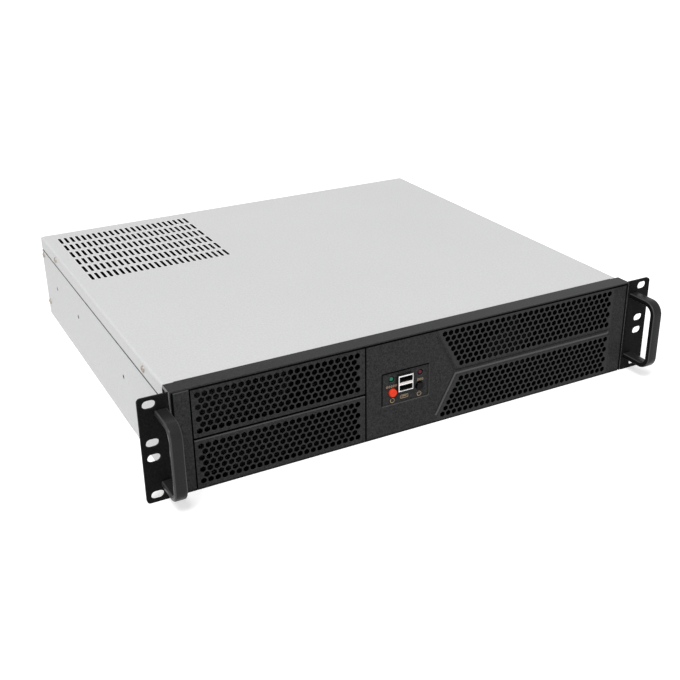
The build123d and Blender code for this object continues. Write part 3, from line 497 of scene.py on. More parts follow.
def rounded_outline(width, height, radius, steps=5):
    """Points round a rectangle with round corners: a quarter circle about each corner's centre."""
    turn = np.linspace(0, math.pi / 2, steps)
    arcs = []
    for number, (sx, sy) in enumerate(((1, 1), (-1, 1), (-1, -1), (1, -1))):
        angle = turn + number * math.pi / 2
        centre = np.array([sx * (width / 2 - radius), sy * (height / 2 - radius)])
        arcs.append(centre + radius * np.stack([np.cos(angle), np.sin(angle)], -1))
    return np.concatenate(arcs)


def bent_bar(name, node):
    """The bar's outline carried along an arm, a quarter bend, the grip, a bend and the other arm."""
    low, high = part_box(node)
    bottom = low.z + handle_bar / 2
    top = high.z - handle_bar / 2
    front = low.y + handle_bar / 2
    turn = np.linspace(0, math.pi / 2, bend_steps)
    across = handle_bend * np.cos(turn)
    along = handle_bend * np.sin(turn)
    lower = np.stack([front + handle_bend - along, bottom + handle_bend - across], -1)
    upper = np.stack([front + handle_bend - across, top - handle_bend + along], -1)
    path = np.concatenate([[(high.y, bottom)], lower, upper, [(high.y, top)]])
    ahead = np.gradient(path, axis=0)
    ahead[0] = (-1, 0)
    ahead[-1] = (1, 0)
    ahead[1:-1 - bend_steps] = np.stack([-np.cos(turn), np.sin(turn)], -1)
    ahead[1 + bend_steps:-1] = np.stack([np.sin(turn), np.cos(turn)], -1)
    outward = np.stack([ahead[:, 1], -ahead[:, 0]], -1)
    outline = rounded_outline(high.x - low.x, handle_bar, handle_corner)
    rings = np.zeros((len(path), len(outline), 3))
    rings[..., 0] = (low.x + high.x) / 2 + outline[None, :, 0]
    rings[..., 1:] = path[:, None] + outward[:, None] * outline[None, :, 1, None]
    return tidy(skin(name, rings), crease=40.0)


def satin_black(wire):
    """A tighter, shinier coat than the sheet's, with a faint grain. A painted highlight pales it
    along the rounded edges and a little on the outer flank, and painted shade keeps the inner flank
    a deep matt black."""
    grain = wire.cloud(0.9 * millimetre, 3.0, 0.65)
    rub = wire.cloud(12 * millimetre, 2.0)
    sideways = wire.node("ShaderNodeSeparateXYZ", None, {"Vector": wire.normal()}, "X")
    outwards = sideways * wire.axis("X") / abs(wire.axis("X"))
    # Painted shade on the inner flank, and painted highlight on the outer flank and the shoulders.
    flank = (-1 * outwards).between(flank_start, flank_full)
    outer = outwards.between(flank_start, flank_full)
    shoulder = abs(sideways).between(0.15, 0.50) * (1 - flank) * (1 - outer)
    coat = wire.tint(grain, shaded(handle_black, 0.6), shaded(handle_black, 1.6))
    painted_highlight = wire.mixed(shoulder * 0.9 + outer * 0.45, coat, (*rim_highlight, 1.0))
    return {
        "Base Color": wire.mixed(flank, painted_highlight, (*flank_shade, 1.0)),
        "Roughness": grain.about(0.30, 0.25) + (rub - 0.5) * 0.12 + flank * 0.5,
        "Normal": wire.relief(grain, 0.5, 0.14 * millimetre),
    }


handle_paint = material_with("satin_black_bar", {"Specular IOR Level": 0.12}, satin_black)
for side in ("left", "right"):
    bar = bent_bar(f"{side}_handle_bar", f"{side}_handle")
    bar.data.materials.append(handle_paint)
    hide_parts(f"{side}_handle")
    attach(bar, "case")


# Screws
# Pan-head screws with a cross recess hold the body together. Those outside have a dull
# bronze-grey plating, those inside and in the slot covers bright zinc, and the fan's are black.
head_depth = 1.7 * millimetre
head_flat = 0.55
head_crown = 0.12
recess_reach = 0.62
recess_width = 0.15
recess_depth = 0.62
recess_wall = 0.06
recess_tip = 0.12
head_rings = 19
rim_rings = 9
head_around = 48
shank_rings = 41
shank_around = 24
shank_share = 0.5
thread_share = 0.07
screw_crease = 50.0
bronze_plate = (0.40, 0.36, 0.31)
zinc_plate = (0.60, 0.60, 0.58)
zinc_black = (0.008, 0.008, 0.008)


def plated(colour, rough):
    """A maker of a plating's pattern: a cloudy colour with fine scratches."""
    def pattern(wire):
        cloudy = wire.cloud(1.6 * millimetre, 3.0, 0.6)
        scratch = wire.cloud(0.6 * millimetre, 2.0, 0.5, (1, 1, 4))
        return {
            "Base Color": wire.tint(cloudy, shaded(colour, 0.72), shaded(colour, 1.2)),
            "Roughness": cloudy.about(rough, 0.25),
            "Normal": wire.relief(scratch, 0.2, 0.04 * millimetre),
        }
    return pattern


bronze = material_with("bronze_grey_plating", {"Metallic": 0.6}, plated(bronze_plate, 0.46))
zinc = material_with("bright_zinc", {"Metallic": 1.0}, plated(zinc_plate, 0.34))


def pan_head(name, seat, out, radius):
    """A head as a height over a disc: a flat dome whose rim falls to the seat, less a cross whose
    arms are steps in the two directions across the disc."""
    reach = np.concatenate([np.linspace(0, 0.72, head_rings), np.linspace(0.76, 1.0, rim_rings)])
    turn = np.linspace(0, 2 * math.pi, head_around, endpoint=False)
    r, angle = np.meshgrid(reach, turn, indexing="ij")
    rim = np.clip((r - head_flat) / (1 - head_flat), 0, 1)
    dome = np.sqrt(np.clip(1 - rim**2, 0, 1)) * (1 - head_crown * r**2)
    across = np.abs(r * np.cos(angle))
    along = np.abs(r * np.sin(angle))

    def arm(a, b):
        inside = np.clip((recess_width - a) / recess_wall + 0.5, 0, 1)
        return inside * np.clip((recess_reach - b) / recess_tip + 0.5, 0, 1)

    height = dome - recess_depth * np.maximum(arm(across, along), arm(along, across))
    side = np.array(out.orthogonal().normalized())
    other = np.array(out.cross(Vector(side)).normalized())
    spot = radius * r[..., None] * (np.cos(angle)[..., None] * side + np.sin(angle)[..., None] * other)
    points = np.array(seat) + spot + head_depth * height[..., None] * np.array(out)
    return tidy(skin(name, points), screw_crease)


def islands(node):
    """The separate solids of a CAD node, each as an array of its points."""
    work = bmesh.new()
    work.from_mesh(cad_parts[node].data)
    bmesh.ops.remove_doubles(work, verts=work.verts, dist=1e-6)
    left = set(work.verts)
    groups = []
    while left:
        edge = [left.pop()]
        group = list(edge)
        while edge:
            vertex = edge.pop()
            for link in vertex.link_edges:
                other = link.other_vert(vertex)
                if other in left:
                    left.remove(other)
                    edge.append(other)
                    group.append(other)
        groups.append(np.array([tuple(vertex.co) for vertex in group]))
    work.free()
    return sorted(groups, key=lambda group: tuple(np.round(group.mean(0), 5)))


def dressed_screws(node, axis, sign, material):
    """A head and a ridged shank at the place and size of each solid of a node, as one piece. Heads
    face along the axis by the sign, or away from the middle where the sign is None."""
    parts = []
    for number, points in enumerate(islands(node)):
        low = points.min(0)
        high = points.max(0)
        middle = (low + high) / 2
        way = sign or (1 if middle[axis] > 0 else -1)
        out = Vector((0, 0, 0))
        out[axis] = way
        first, second = (other for other in range(3) if other != axis)
        radius = max(high[first] - low[first], high[second] - low[second]) / 2
        foot, top = (low[axis], high[axis]) if way > 0 else (high[axis], low[axis])
        seat = middle.copy()
        seat[axis] = top - way * head_depth
        parts.append(pan_head(f"{node}_head_{number}", seat, out, radius))
        turn = np.linspace(0, 2 * math.pi, shank_around, endpoint=False)
        ridges = 1 - thread_share * (np.arange(shank_rings) % 2)
        shank_radius = (shank_share * radius * ridges)[:, None]
        ring = np.zeros((shank_rings, shank_around, 3))
        ring[..., axis] = np.linspace(foot, seat[axis], shank_rings)[:, None]
        ring[..., first] = middle[first] + shank_radius * np.cos(turn)
        ring[..., second] = middle[second] + shank_radius * np.sin(turn)
        parts.append(tidy(skin(f"{node}_shank_{number}", ring), screw_crease))
    piece = join(f"{node}_turned", parts)
    piece.data.materials.append(material)
    piece.data.shade_smooth()
    piece.data.set_sharp_from_angle(angle=math.radians(screw_crease))
    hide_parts(node)
    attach(piece, "case")


for node in ("cover_screws", "rear_panel_screws", "ear_screws"):
    dressed_screws(node, 0, None, bronze)
for node in ("floor_screws", "slot_screws"):
    dressed_screws(node, 2, 1, zinc)
wear(bronze, "handle_screws")
wear(zinc, "board_screws")
dim_metal = {"Metallic": 0.3, "Specular IOR Level": 0.1}
wear(material_with("black_plating", dim_metal, plated(zinc_black, 0.6)), "fan_screws")


# Plated brackets
# Bay sides, drive bracket, supply stop, slot rail and cross bar are black zinc-plated sheet.
# The plating has a spangle of large flat crystals and a faint rolling grain.
spangle_dark = (0.014, 0.014, 0.015)
spangle_pale = (0.045, 0.045, 0.047)
spangles_per_metre = 160.0


def spangled(wire):
    """Cells of slightly different brightness, with fine lines along the sheet."""
    values = {"Vector": wire.place(), "Scale": spangles_per_metre}
    cells = wire.node("ShaderNodeTexVoronoi", None, values, "Color")
    shade = wire.node("ShaderNodeSeparateColor", None, {"Color": cells}, "Red")
    lines = wire.cloud(0.8 * millimetre, 2.0, 0.5, (1, 0.08, 1))
    tone = shade * 0.5 + lines * 0.5
    return {
        "Base Color": wire.tint(tone, spangle_dark, spangle_pale),
        "Roughness": shade.about(0.34, 0.16),
        "Normal": wire.relief(lines, 0.15, 0.05 * millimetre),
    }


half_metal = {"Metallic": 0.6, "Specular IOR Level": 0.2}
spangle = material_with("black_zinc_plated_sheet", half_metal, spangled)
wear(spangle, "left_bay_side", "right_bay_side", "drive_bracket")
wear(spangle, "supply_stop", "slot_rail", "cover_bar")


# Standoffs
# Nine brass pillars stand on the floor, ready for a mainboard. They are turned and tapped, and
# tool marks ring them.
brass_dark = (0.55, 0.38, 0.14)
brass_pale = (0.80, 0.62, 0.29)
tool_mark_scale = 900.0


def turned_brass(wire):
    """Fine rings round the pillar over a warm, slightly cloudy brass."""
    values = {"Vector": wire.place(), "Scale": tool_mark_scale, "Distortion": 0.6}
    rings = wire.node("ShaderNodeTexWave", {"bands_direction": "Z"}, values)
    cloudy = wire.cloud(2 * millimetre, 2.0)
    return {
        "Base Color": wire.tint(cloudy, brass_dark, brass_pale),
        "Roughness": 0.25 + rings * 0.12,
        "Normal": wire.relief(rings, 0.2, 0.03 * millimetre),
    }


wear(material_with("turned_brass", {"Metallic": 1.0}, turned_brass), "board_standoffs")


# Lamps
# Two round lamps look out of dark holes in the control plate: a green one for power and a
# dark red one for drive use. Each is a coloured moulding with a domed front.
lamp_radius = 2.1 * millimetre
lamp_dome = 0.85
lamp_collar = 1.0 * millimetre
dome_steps = 12


def middle_of(node):
    """The middle of a node's box, across the case and up."""
    low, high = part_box(node)
    return (low.x + high.x) / 2, (low.z + high.z) / 2


def turned(name, profile, centre, steps=40):
    """A profile of radius and depth carried round a line along Y through a centre."""
    profile = np.asarray(profile, float)
    turn = np.linspace(0, 2 * math.pi, steps, endpoint=False)
    rings = np.zeros((len(profile), steps, 3))
    rings[..., 0] = centre[0] + profile[:, :1] * np.cos(turn)
    rings[..., 1] = profile[:, 1:]
    rings[..., 2] = centre[1] + profile[:, :1] * np.sin(turn)
    return tidy(skin(name, rings), crease=35.0)


def lamp_profile(low, high, collar):
    """A dome that is a quarter of an ellipse, a straight body and a collar at the back."""
    turn = np.linspace(0, math.pi / 2, dome_steps)
    depth = low + lamp_radius * lamp_dome * (1 - np.cos(turn))
    step = high - lamp_collar
    back = [(lamp_radius, step), (collar, step), (collar, high), (0.0, high)]
    return np.concatenate([np.stack([lamp_radius * np.sin(turn), depth], -1), back])


def lens(glow, deep):
    """A maker of a lens pattern: a deep and a bright tone that meet in faint flow marks."""
    def pattern(wire):
        flow = wire.cloud(1.5 * millimetre, 2.0)
        return {
            "Base Color": wire.tint(flow, deep, glow),
            "Roughness": 0.30 + flow * 0.1,
            "Normal": wire.relief(flow, 0.1, 0.05 * millimetre),
        }
    return pattern


lamp_paints = {
    "power_lamp": ("lamp_green", (0.030, 0.235, 0.130), (0.010, 0.120, 0.060)),
    "drive_lamp": ("lamp_red", (0.160, 0.012, 0.040), (0.045, 0.003, 0.010)),
}
for node, (slot, glow, deep) in lamp_paints.items():
    low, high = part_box(node)
    profile = lamp_profile(low.y, high.y, (high.x - low.x) / 2)
    lamp = turned(f"{node}_lens", profile, middle_of(node))
    lamp.data.materials.append(material_with(slot, {"Specular IOR Level": 0.2}, lens(glow, deep)))
    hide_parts(node)
    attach(lamp, "case")


# Buttons
# The reset button is a glossy red moulding and the power button a glossy black one. Each is a
# round cap with a dished face and a collar behind the plate, on a stem that enters its switch.
button_radius = 3.5 * millimetre
button_edge = 0.8 * millimetre
button_dish = 0.18 * millimetre
button_around = 56
dish_steps = 10
edge_steps = 8
collar_front = 2.65 * millimetre
collar_back = 3.65 * millimetre
stem_radius = 1.5 * millimetre


def button_profile(low, high, collar):
    """A parabola for the dish, a quarter-round edge, the cap's side, the collar and the stem."""
    inner = button_radius - button_edge
    face = np.linspace(0, inner, dish_steps)
    dish = np.stack([face, low + button_dish * (1 - (face / inner) ** 2)], -1)
    turn = np.linspace(0, math.pi / 2, edge_steps)[1:]
    edge = np.stack([inner + button_edge * np.sin(turn), low + button_edge * (1 - np.cos(turn))], -1)
    front = front_face + collar_front
    back = front_face + collar_back
    tail = [
        (button_radius, front), (collar, front), (collar, back),
        (stem_radius, back), (stem_radius, high), (0.0, high),
    ]
    return np.concatenate([dish, edge, tail])


def moulded(colour, rough):
    """A maker of a glossy moulding's pattern: faint sink marks and a little dust in the gloss."""
    def pattern(wire):
        dust = wire.cloud(0.9 * millimetre, 3.0, 0.7)
        sink = wire.cloud(6 * millimetre, 1.0)
        return {
            "Base Color": wire.tint(dust, shaded(colour, 0.85), shaded(colour, 1.15)),
            "Roughness": dust.about(rough, 0.16),
            "Normal": wire.relief(sink, 0.15, 0.2 * millimetre),
        }
    return pattern


button_paints = {
    "reset_button": ("button_red", "reset_key", (1.0, 0.055, 0.018), 0.40),
    "power_button": ("button_black", "power_key", (0.0015, 0.0015, 0.0017), 0.20),
}
for node, (slot, body, colour, rough) in button_paints.items():
    low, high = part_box(node)
    profile = button_profile(low.y, high.y, (high.x - low.x) / 2)
    cap = turned(f"{node}_cap", profile, middle_of(node), button_around)
    cap.data.materials.append(material_with(slot, {"Specular IOR Level": 0.12}, moulded(colour, rough)))
    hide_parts(node)
    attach(cap, body)


# Mouldings behind the plate
# The switches' bodies and the lamps' spacers are plain black mouldings on the control board.
# The fan's square frame is the same plastic, with the same spark-eroded texture.
moulding_dark = (0.003, 0.003, 0.0033)
moulding_pale = (0.010, 0.010, 0.0107)


def black_moulding(wire):
    """A spark-eroded texture: small pits in a matt black."""
    pits = wire.cloud(0.8 * millimetre, 3.0, 0.6)
    return {
        "Base Color": wire.tint(pits, moulding_dark, moulding_pale),
        "Roughness": pits.about(0.5, 0.3),
        "Normal": wire.relief(pits, 0.35, 0.1 * millimetre),
    }


moulding = material_with("black_moulding", {"Specular IOR Level": 0.12}, black_moulding)
wear(moulding, "reset_switch", "power_switch", "lamp_spacers", "fan_frame")


# Fan wheel
# A moulded cup with seven swept blades turns in the frame. Each blade is an arched aerofoil
# that twists from the cup to its tip. The cup's front has a shallow round recess.
fan_blades = 7
cup_radius = 17.0 * millimetre
cup_length = 19.0 * millimetre
cup_wall = 1.8 * millimetre
cup_floor = 2.0 * millimetre
cup_edge = 1.2 * millimetre
edge_inset = 0.35 * millimetre
recess_floor = 0.3 * millimetre
recess_inner = 0.86 * cup_radius
recess_outer = 0.88 * cup_radius
shaft = 1.5 * millimetre
cup_around = 64
span_steps = 12
chord_steps = 13
blade_root = 1.0 * millimetre
blade_thickness = 1.5 * millimetre
blade_sweep = math.radians(24)
blade_arch = 1.8 * millimetre
blade_clear = 2.4 * millimetre
blade_fill = 0.94
tip_clear = 0.2 * millimetre
root_pitch = math.radians(46)
tip_pitch = math.radians(34)
low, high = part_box("fan_rotor")
wheel_front = low.y
wheel_x, wheel_z = middle_of("fan_frame")
tip_radius = max(high.z - wheel_z, high.x - wheel_x) - tip_clear


def fan_blade(name, start):
    """A grid of span and a loop round the section. The section is a chord at the pitch angle,
    arched by a parabola, with a thickness that swells and thins like a sine."""
    span = np.linspace(0, 1, span_steps)[:, None]
    there = np.linspace(0, 1, chord_steps)
    loop = np.concatenate([there, there[-2:0:-1]])[None]
    top = np.concatenate([np.ones(chord_steps), -np.ones(chord_steps - 2)])[None]
    radius = cup_radius - blade_root + span * (tip_radius - cup_radius + blade_root)
    pitch = root_pitch + (tip_pitch - root_pitch) * span
    chord = (cup_length - blade_clear) / np.cos(pitch) * blade_fill
    along = (loop - 0.5) * chord
    raised = blade_arch * 4 * loop * (1 - loop)
    raised = raised + top * blade_thickness / 2 * np.sqrt(np.sin(math.pi * np.clip(loop, 0.02, 0.98)))
    depth = wheel_front + cup_length / 2 + along * np.cos(pitch) - raised * np.sin(pitch)
    around = start + blade_sweep * span + (along * np.sin(pitch) + raised * np.cos(pitch)) / radius
    grid = np.stack([wheel_x + radius * np.cos(around), depth, wheel_z + radius * np.sin(around)], -1)
    return tidy(skin(name, grid), crease=60.0)


cup_inner = cup_radius - cup_wall
cup_back = wheel_front + cup_length
cup_inside = wheel_front + cup_floor
cup_profile = [
    (0.0, wheel_front + recess_floor), (recess_inner, wheel_front + recess_floor),
    (recess_outer, wheel_front), (cup_radius - cup_edge, wheel_front),
    (cup_radius - edge_inset, wheel_front + edge_inset), (cup_radius, wheel_front + cup_edge),
    (cup_radius, cup_back), (cup_inner, cup_back), (cup_inner, cup_inside), (shaft, cup_inside),
    (shaft, high.y), (0.0, high.y),
]
wheel_parts = [turned("fan_cup", cup_profile, (wheel_x, wheel_z), cup_around)]
for number in range(fan_blades):
    start = number * 2 * math.pi / fan_blades
    wheel_parts.append(fan_blade(f"fan_blade_{number}", start))
wheel = join("fan_wheel_moulding", wheel_parts)
wheel.data.shade_smooth()
wheel.data.set_sharp_from_angle(angle=math.radians(40))
wheel.data.materials.append(moulding)
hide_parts("fan_rotor")
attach(wheel, "fan_wheel")


# Double port
# Two stacked sockets in one tinned shell, whose mouths have a rolled rim and a flat lip above.
# A pale moulding fills the space between them, and each dark tongue has four gilt contacts.
mouth_width = 12.6 * millimetre
mouth_height = 5.2 * millimetre
mouth_pitch = 7.5 * millimetre
rim_thickness = 0.5 * millimetre
rim_corner = 0.6 * millimetre
rim_around = 10
lip_height = 0.9 * millimetre
lip_rise = 0.25 * millimetre
lip_round = 0.15 * millimetre
divider_inset = 0.6 * millimetre
divider_rise = 0.15 * millimetre
divider_depth = 1.0 * millimetre
divider_round = 0.3 * millimetre
contact_width = 1.0 * millimetre
contact_pitch = 2.3 * millimetre
contact_rise = 0.12 * millimetre
contact_inset = 0.5 * millimetre
contact_round = 0.05 * millimetre
contact_count = 4
port_tin = (0.95, 0.95, 0.94)
divider_pale = (0.78, 0.66, 0.60)
contact_gilt = (0.30, 0.20, 0.09)
tongue_dark = (0.030, 0.021, 0.015)
# Near black painted shade inside the port's mouths.
mouth_shade = (0.006, 0.005, 0.004)
mouth_shade_depth = 0.4 * millimetre
port_low, port_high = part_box("port_shell")
port_middle = middle_of("port_shell")


def rolled_rim(name, centre):
    """A round bead carried along a mouth's outline, a rectangle with round corners."""
    width = mouth_width + rim_thickness
    outline = rounded_outline(width, mouth_height + rim_thickness, rim_corner, 6)
    turn = np.linspace(0, 2 * math.pi, rim_around, endpoint=False)
    ahead = np.roll(outline, -1, 0) - np.roll(outline, 1, 0)
    ahead /= np.linalg.norm(ahead, axis=1, keepdims=True)
    outward = np.stack([ahead[:, 1], -ahead[:, 0]], -1)
    flat = outline[:, None] + outward[:, None] * (rim_thickness / 2 * np.cos(turn))[None, :, None]
    rings = np.zeros((len(outline) + 1, rim_around, 3))
    rings[:-1, :, 0] = centre[0] + flat[..., 0]
    rings[:-1, :, 2] = centre[1] + flat[..., 1]
    rings[:-1, :, 1] = port_low.y + rim_thickness / 2 * np.sin(turn)
    rings[-1] = rings[0]
    return tidy(skin(name, rings, capped=False), crease=60.0)


def tinned(wire):
    """Bright tin with a soft cloudiness and fine handling marks."""
    cloudy = wire.cloud(3 * millimetre, 3.0, 0.6)
    return {
        "Base Color": wire.tint(cloudy, shaded(port_tin, 0.85), shaded(port_tin, 1.15)),
        "Roughness": 0.2 + cloudy * 0.16,
        "Normal": wire.relief(cloudy, 0.1, 0.05 * millimetre),
    }


def mottled(colour, low, high, size, rough, swing):
    """A maker of a faint mottle: the colour from low to high times itself, rougher where paler."""
    def pattern(wire):
        mottle = wire.cloud(size, 2.0)
        return {
            "Base Color": wire.tint(mottle, shaded(colour, low), shaded(colour, high)),
            "Roughness": mottle.about(rough, swing),
        }
    return pattern


def slab(name, low, high, radius):
    """A box with round edges along Y: its outline carried from the near face to the far one."""
    outline = rounded_outline(high[0] - low[0], high[2] - low[2], radius, 4)
    depth = np.linspace(low[1], high[1], 2)
    rings = np.zeros((2, len(outline), 3))
    rings[..., 0] = (low[0] + high[0]) / 2 + outline[None, :, 0]
    rings[..., 1] = depth[:, None]
    rings[..., 2] = (low[2] + high[2]) / 2 + outline[None, :, 1]
    return tidy(skin(name, rings))


port_metal = material_with("tinned_steel", {"Metallic": 0.7}, tinned)
pale_moulding = mottled(divider_pale, 0.9, 1.1, 2.0 * millimetre, 0.42, 0.1)
dark_moulding = mottled(tongue_dark, 0.8, 1.2, 2.0 * millimetre, 0.5, 0.1)
gilt = mottled(contact_gilt, 0.9, 1.2, 1.2 * millimetre, 0.30, 0.12)


def tinned_shell(wire):
    """The same tin on the shell's face, and near black painted shade on all that lies behind it."""
    shell = tinned(wire)
    inside = wire.axis("Y") > port_low.y + mouth_shade_depth
    shell["Base Color"] = wire.mixed(inside, shell["Base Color"], (*mouth_shade, 1.0))
    shell["Roughness"] = shell["Roughness"] + inside * 0.5
    return shell


wear(material_with("tinned_shell", {"Metallic": 0.4}, tinned_shell), "port_shell")
rims = []
for direction in (-1, 1):
    spot = (port_middle[0], port_middle[1] + direction * mouth_pitch / 2)
    rims.append(rolled_rim(f"port_rim_{direction}", spot))
    lip_seat = spot[1] + mouth_height / 2
    rims.append(slab(
        f"port_lip_{direction}",
        (spot[0] - mouth_width / 2, port_low.y - lip_rise, lip_seat),
        (spot[0] + mouth_width / 2, port_low.y + lip_rise, lip_seat + lip_height),
        lip_round,
    ))
rim_pair = join("port_rims", rims)
rim_pair.data.shade_smooth()
rim_pair.data.materials.append(port_metal)
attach(rim_pair, "case")
divider_half = (mouth_pitch - mouth_height) / 2 - rim_thickness
divider = slab(
    "port_divider",
    (port_low.x + divider_inset, port_low.y - divider_rise, port_middle[1] - divider_half),
    (port_high.x - divider_inset, port_low.y + divider_depth, port_middle[1] + divider_half),
    divider_round,
)
divider.data.materials.append(material_with("pale_moulding", {}, pale_moulding))
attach(divider, "case")
wear(material_with("dark_tongues", {"Specular IOR Level": 0.2}, dark_moulding), "port_tongues")
contacts = []
for tongue in islands("port_tongues"):
    low = tongue.min(0)
    high = tongue.max(0)
    middle = (low[0] + high[0]) / 2
    for number in range(contact_count):
        x = middle + (number - (contact_count - 1) / 2) * contact_pitch
        contacts.append(slab(
            f"contact_{len(contacts)}",
            (x - contact_width / 2, low[1] + contact_inset, low[2] - contact_rise),
            (x + contact_width / 2, high[1], low[2] + contact_rise),
            contact_round,
        ))
contact_row = join("port_contacts", contacts)
contact_row.data.materials.append(material_with("gilt_contact", {"Metallic": 1.0}, gilt))
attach(contact_row, "case")


# Control board
# A small green circuit board closes the control group at the back. Its tracks show as slightly
# raised lines under the solder mask.
mask_dark = (0.006, 0.060, 0.026)
mask_pale = (0.022, 0.150, 0.070)
cells_per_metre = 300.0


def circuit(wire):
    """Tracks are the thin edges of roughly square cells, a little lighter and raised."""
    values = {"Vector": wire.place(), "Scale": cells_per_metre, "Randomness": 0.55}
    cells = wire.node("ShaderNodeTexVoronoi", {"feature": "DISTANCE_TO_EDGE"}, values)
    track = 1 - cells.between(0.02, 0.07)
    return {
        "Base Color": wire.tint(track, mask_dark, mask_pale),
        "Roughness": 0.4 - track * 0.1,
        "Normal": wire.relief(track, 0.3, 0.08 * millimetre),
    }


wear(material_with("green_solder_mask", {"Coat Weight": 0.3}, circuit), "control_board")


# Printed marks
# Tan marks are printed on the plate: a ring below the red button, a ring with a bar below the
# black one, a socket outline below the port and a row of plain blocks below each lamp.
print_tan = (0.50, 0.36, 0.22)
print_thickness = 0.03 * millimetre
print_round = 0.08 * millimetre
stroke = 0.42 * millimetre
mark_z = 31.6 * millimetre
socket_z = 33.0 * millimetre
label_z = 44.8 * millimetre
ring_outer = 2.1 * millimetre
reset_turn = 0.7
reset_gap = 0.5
power_gap = math.radians(48)
bar_lift = 1.5 * millimetre
bar_height = 2.2 * millimetre
socket_width = 7.6 * millimetre
socket_height = 3.2 * millimetre
tongue_lift = 0.3 * millimetre
tongue_width = 5.0 * millimetre
tongue_height = 0.6 * millimetre
block_pitch = 2.1 * millimetre
block_width = 1.5 * millimetre
block_height = 2.2 * millimetre
arc_steps = 49
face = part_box("control_plate")[0].y


def open_ring(name, centre, start, gap):
    """A ring less a gap, as a strip between two circles from a start angle, given a thin wall."""
    turn = np.linspace(start, start + 2 * math.pi - gap, arc_steps)
    inner = ring_outer - stroke
    rings = np.zeros((arc_steps, 4, 3))
    corners = ((ring_outer, 0), (inner, 0), (inner, 1), (ring_outer, 1))
    for column, (radius, depth) in enumerate(corners):
        rings[:, column, 0] = centre[0] + radius * np.cos(turn)
        rings[:, column, 1] = face - depth * print_thickness
        rings[:, column, 2] = centre[1] + radius * np.sin(turn)
    return tidy(skin(name, rings), crease=30.0, gap=1e-7)


def bar_mark(name, centre, width, height):
    """A printed rectangle."""
    low = (centre[0] - width / 2, face - print_thickness, centre[1] - height / 2)
    high = (centre[0] + width / 2, face, centre[1] + height / 2)
    return slab(name, low, high, print_round)


def outline_mark(name, centre, width, height):
    """A printed rectangle with an open middle, as four bars."""
    sides = []
    for number, (dx, dz, w, h) in enumerate((
        (0, 1, width, stroke), (0, -1, width, stroke), (1, 0, stroke, height), (-1, 0, stroke, height)
    )):
        spot = (centre[0] + dx * (width - stroke) / 2, centre[1] + dz * (height - stroke) / 2)
        sides.append(bar_mark(f"{name}_{number}", spot, w, h))
    return sides


upright = math.pi / 2
reset_x = middle_of("reset_button")[0]
power_x = middle_of("power_button")[0]
port_x = port_middle[0]
marks = [
    open_ring("reset_ring", (reset_x, mark_z), upright + reset_turn, reset_gap),
    open_ring("power_ring", (power_x, mark_z), upright + power_gap / 2, power_gap),
    bar_mark("power_bar", (power_x, mark_z + bar_lift), stroke, bar_height),
]
marks += outline_mark("socket_mark", (port_x, socket_z), socket_width, socket_height)
marks.append(bar_mark("socket_tongue", (port_x, socket_z + tongue_lift), tongue_width, tongue_height))
for node, count in (("power_lamp", 5), ("drive_lamp", 3)):
    for number in range(count):
        spot = (middle_of(node)[0] + (number - (count - 1) / 2) * block_pitch, label_z)
        marks += outline_mark(f"{node}_block_{number}", spot, block_width, block_height)
prints = join("printed_marks", marks)
ink = mottled(print_tan, 0.75, 1.15, 0.5 * millimetre, 0.55, 0.2)
prints.data.materials.append(material_with("tan_print", {}, ink))
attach(prints, "case")


# Camera
# The case is looked at from the front left and from above, close enough that its rear narrows.
# The values come from a fit of the ears' slots and the case's corners to the photograph.
view_azimuth = math.radians(-27.53)
view_elevation = math.radians(24.89)
view_roll = math.radians(-0.84)
view_target = Vector((0.0, -0.034, 0.044))
view_right = 0.0009
view_up = -0.02201
view_distance = 0.96748
focal_in_pixels = 1022.88
picture_width = 680
sensor_width = 36.0

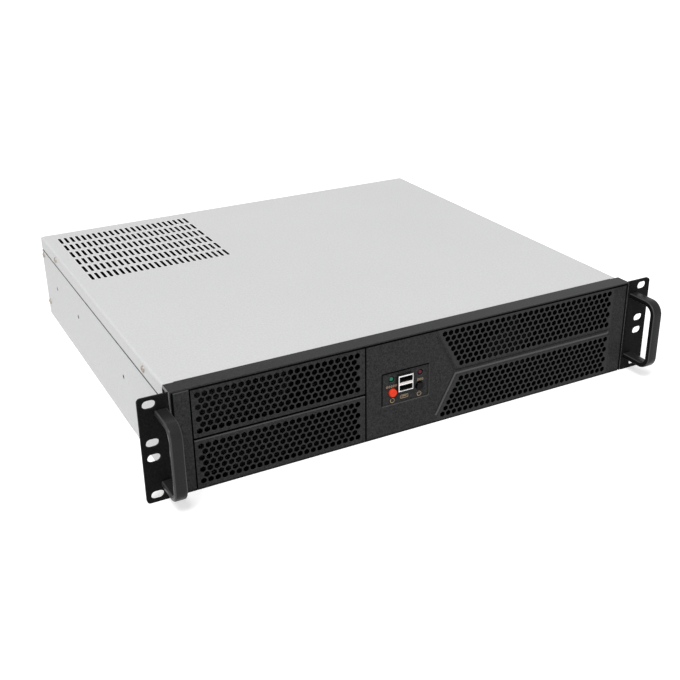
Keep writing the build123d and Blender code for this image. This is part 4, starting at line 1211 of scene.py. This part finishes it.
view_back = Vector((
    math.sin(view_azimuth) * math.cos(view_elevation),
    -math.cos(view_azimuth) * math.cos(view_elevation),
    math.sin(view_elevation),
))
level_right = Vector((math.cos(view_azimuth), math.sin(view_azimuth), 0.0))
level_up = view_back.cross(level_right)
camera_right = level_right * math.cos(view_roll) + level_up * math.sin(view_roll)
camera_up = view_back.cross(camera_right)
view_centre = view_target + level_right * view_right + level_up * view_up
camera_data = bpy.data.cameras.new("camera")
camera_data.sensor_fit = "HORIZONTAL"
camera_data.sensor_width = sensor_width
camera_data.lens = focal_in_pixels / picture_width * sensor_width
camera = bpy.data.objects.new("camera", camera_data)
camera.matrix_world = Matrix.Translation(view_centre + view_back * view_distance) @ Matrix((
    camera_right, camera_up, view_back
)).transposed().to_4x4()
bpy.context.scene.collection.objects.link(camera)
bpy.context.scene.camera = camera
bpy.context.scene.view_settings.view_transform = "Standard"


# Studio
# A white floor and a white surround, so that the case stands on a plain ground with a soft
# shadow. A large lamp stands above the front left.
floor_reach = 12.0
floor_tone = (0.86, 0.86, 0.86)
ambient_strength = 0.50
backdrop_strength = 1.0
floor_lift = 0.52
key_direction = Vector((-0.40, -0.50, 1.0))
key_distance = 6.0
key_size = 2.4
key_power = 201.0


def seen(wire):
    """1 for what the camera sees by itself, in a reflection or through glass, and 0 elsewhere."""
    kinds = ("Is Camera Ray", "Is Glossy Ray", "Is Transmission Ray")
    straight, glossy, through = (wire.node("ShaderNodeLightPath", output=kind) for kind in kinds)
    return (straight + glossy + through) > 0.5


floor_mesh = bpy.data.meshes.new("floor")
corners = np.array([(-1, -1, 0), (1, -1, 0), (1, 1, 0), (-1, 1, 0)], float) * floor_reach
floor_mesh.from_pydata(corners.tolist(), [], [(0, 1, 2, 3)])
floor = bpy.data.objects.new("floor", floor_mesh)
bpy.context.scene.collection.objects.link(floor)
floor_mesh.materials.append(material_with(
    "floor",
    {"Base Color": (*floor_tone, 1.0), "Roughness": 0.9, "Specular IOR Level": 0.1,
     "Emission Strength": 1.0},
    lambda wire: {"Emission Color": wire.tint(seen(wire), (0, 0, 0), (floor_lift,) * 3)},
))

world = bpy.data.worlds.new("surround")
bpy.context.scene.world = world
world.use_nodes = True
sky = world.node_tree.nodes["Background"]
sky.inputs["Color"].default_value = (1.0, 1.0, 1.0, 1.0)
sky_level = seen(Wire(world.node_tree)) * (backdrop_strength - ambient_strength) + ambient_strength
world.node_tree.links.new(sky_level.socket, sky.inputs["Strength"])

lamp_data = bpy.data.lights.new("key", "AREA")
lamp_data.shape = "DISK"
lamp_data.size = key_size
lamp_data.energy = key_power
key = bpy.data.objects.new("key", lamp_data)
toward = key_direction.normalized()
facing = toward.to_track_quat("Z", "Y").to_matrix().to_4x4()
key.matrix_world = Matrix.Translation(toward * key_distance) @ facing
bpy.context.scene.collection.objects.link(key)
